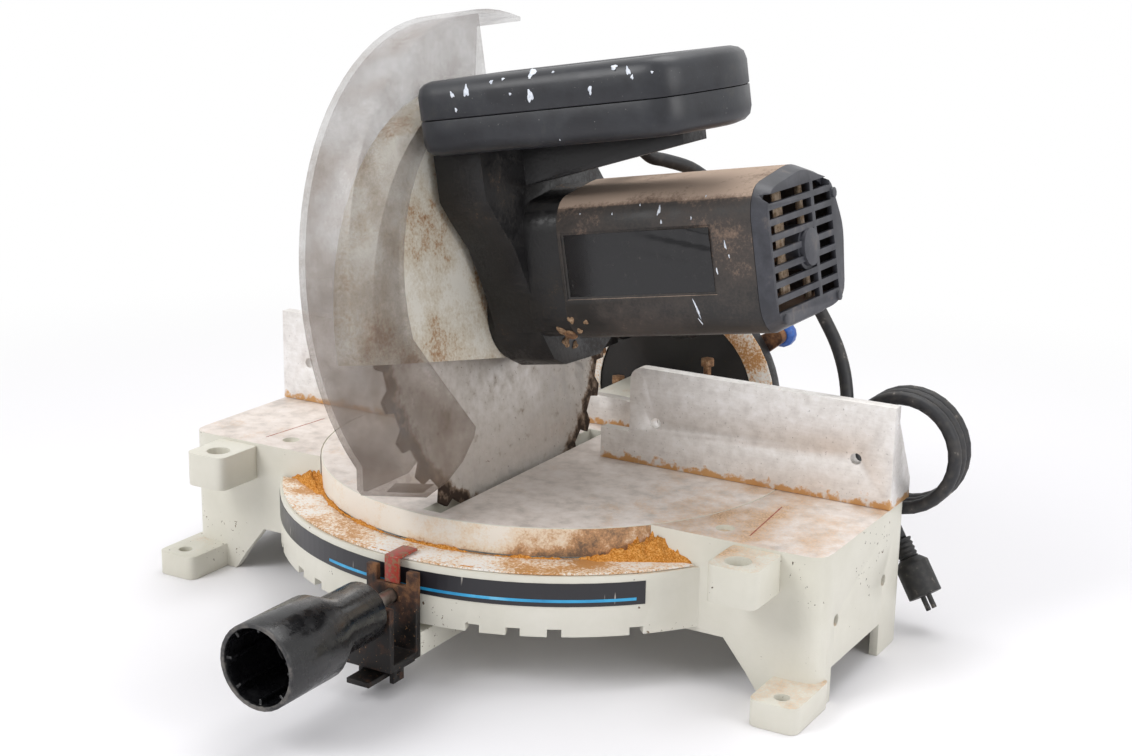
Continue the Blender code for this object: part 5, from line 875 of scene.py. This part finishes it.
# A pan-head screw with packed dust holds the housing's lower front corner.
side_faces = surface_of("motor_housing", "gear_case")
screw_place, screw_face = spot_on(side_faces, 571, 334)
screw_turn = screw_face.to_track_quat("Z", "Y").to_matrix().to_4x4()
screw_stand = Matrix.Translation(screw_place + screw_face * 0.0004) @ screw_turn
form = bmesh.new()
bmesh.ops.create_uvsphere(form, u_segments=20, v_segments=10, radius=0.0042,
                          matrix=screw_stand @ Matrix.Diagonal((1, 1, 0.5, 1)))
screw = shape("housing_screw_head", form, rusty)
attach(screw, "head")
packed = mottled("packed_brown_dust", 900, 5,
                 ((0.34, "#6a5443"), (0.52, "#987c62"), (0.68, "#c3aa8e")),
                 grit=0.7, relief=(0.8, 0.0008), Roughness=0.95, Specular_IOR_Level=0.1)


def dab(form, faces, across, down, radius, stretch=1.0, lean=0.0, height=0.0002, seed=1):
    """A small uneven blot of thick paint or dust, laid on a CAD node where a pixel sees it."""
    place, normal = spot_on(faces, across, down)
    if place is None:
        return
    turn = Matrix.Rotation(lean, 4, "Z")
    stand = Matrix.Translation(place) @ normal.to_track_quat("Z", "Y").to_matrix().to_4x4() @ turn
    count = 18
    ring = []
    for k in range(count):
        angle = 2 * math.pi * k / count
        wobble = 1 + 0.22 * math.sin(3 * angle + seed) + 0.13 * math.sin(5 * angle + 2 * seed)
        ring.append((radius * wobble * math.cos(angle), radius * wobble * stretch * math.sin(angle)))
    lower = [form.verts.new(stand @ Vector((x, y, -height))) for x, y in ring]
    middle = [form.verts.new(stand @ Vector((x * 0.8, y * 0.8, height))) for x, y in ring]
    crown = form.verts.new(stand @ Vector((0, 0, height * 1.5)))
    for k in range(count):
        form.faces.new((lower[k - 1], lower[k], middle[k], middle[k - 1]))
        form.faces.new((middle[k - 1], middle[k], crown))


form = bmesh.new()
for i, (across, down, radius) in enumerate((
        (562, 331, 0.0030), (566, 342, 0.0034), (575, 345, 0.0024),
        (580, 331, 0.0018), (571, 320, 0.0021), (586, 322, 0.0014))):
    dab(form, side_faces, across, down, radius, 1.2, i, 0.0007, i + 1)
clod = shape("dust_at_the_screw", form, packed)
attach(clod, "head")


# Handle: a loop handle moulded in two shells of black semi-gloss plastic and splashed with
# white paint.
grip, tree, shader, place = finish("semi_gloss_moulded_plastic", Specular_IOR_Level=0.5)
cloud = noise(tree, place, 42, 7, 0.68)
grains = noise(tree, place, 900, 3)
tone = node(tree, "ShaderNodeValToRGB", {0: cloud},
            ((0.42, "#1c1d22"), (0.60, "#26282d"), (0.78, "#3b3a39")))
dots = ranged(tree, grains, 0.735, 0.76, top=0.8)
tone = node(tree, "ShaderNodeMix", {0: dots, 6: tone, 7: linear("#8c8a88")}, data_type="RGBA")
rough = ranged(tree, cloud, 0.3, 0.75, 0.30, 0.50)
leather = noise(tree, place, 700, 2)
drive(tree, shader, colour=tone, rough=rough, relief=(leather, 0.10, 0.0004))
clothe(grip, "handle_lower", "handle_upper", edge=0.0008, crease=48)

white_paint = mottled("dried_white_paint", 600, 3, ((0.35, "#c8cfdb"), (0.6, "#e6ebf3")),
                      Roughness=0.5)
form = bmesh.new()
upper_shell, lower_shell = surface_of("handle_upper"), surface_of("handle_lower")
for i, (across, down, radius, stretch, lean) in enumerate((
        (532, 73, 0.0022, 1.6, 0.2), (530, 96, 0.0020, 1.7, 0.1), (466, 91, 0.0018, 1.7, 0.2),
        (452, 95, 0.0012, 1.5, 0.8), (491, 82, 0.0011, 1, 0), (503, 79, 0.0010, 1, 0),
        (510, 94, 0.0008, 1, 0), (553, 72, 0.0008, 1, 0), (614, 67, 0.0018, 1.1, 1.2),
        (628, 71, 0.0013, 1.8, 0.6), (632, 77, 0.0009, 1.4, 0.2), (590, 90, 0.0011, 2.4, 0.1),
        (652, 72, 0.0007, 1, 0), (456, 110, 0.0008, 1.6, 0.2), (599, 106, 0.0006, 4.0, 0.4))):
    dab(form, upper_shell, across, down, radius, stretch, lean, 0.00018, i + 1)
for i, (across, down, radius, stretch, lean) in enumerate((
        (671, 137, 0.0006, 1.3, 0.2), (560, 140, 0.0004, 1.3, 0.2), (618, 152, 0.0003, 3, 0.6))):
    dab(form, lower_shell, across, down, radius, stretch, lean, 0.00015, i + 3)
splashes = shape("paint_splashes_on_handle", form, white_paint)
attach(splashes, "head")
form = bmesh.new()
for i, (across, down, radius, stretch, lean) in enumerate((
        (659, 210, 0.0009, 3.2, 0.05), (661, 222, 0.0006, 2.0, 0.1), (725, 245, 0.0006, 4.2, 0.3),
        (717, 271, 0.0005, 4.0, 0.3), (729, 256, 0.0004, 3.0, 0.3), (691, 218, 0.0004, 2.5, 0.1),
        (697, 309, 0.0006, 9.0, 0.42), (701, 322, 0.0004, 6.0, 0.42), (612, 214, 0.0004, 2, 0.1),
        (640, 205, 0.0004, 2, 0.4), (580, 214, 0.0004, 1, 0.4), (706, 196, 0.0004, 2.2, 0.2))):
    dab(form, housing, across, down, radius, stretch, lean, 0.00015, i + 2)
scratches = shape("paint_marks_on_motor", form, white_paint)
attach(scratches, "head")

low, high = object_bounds()
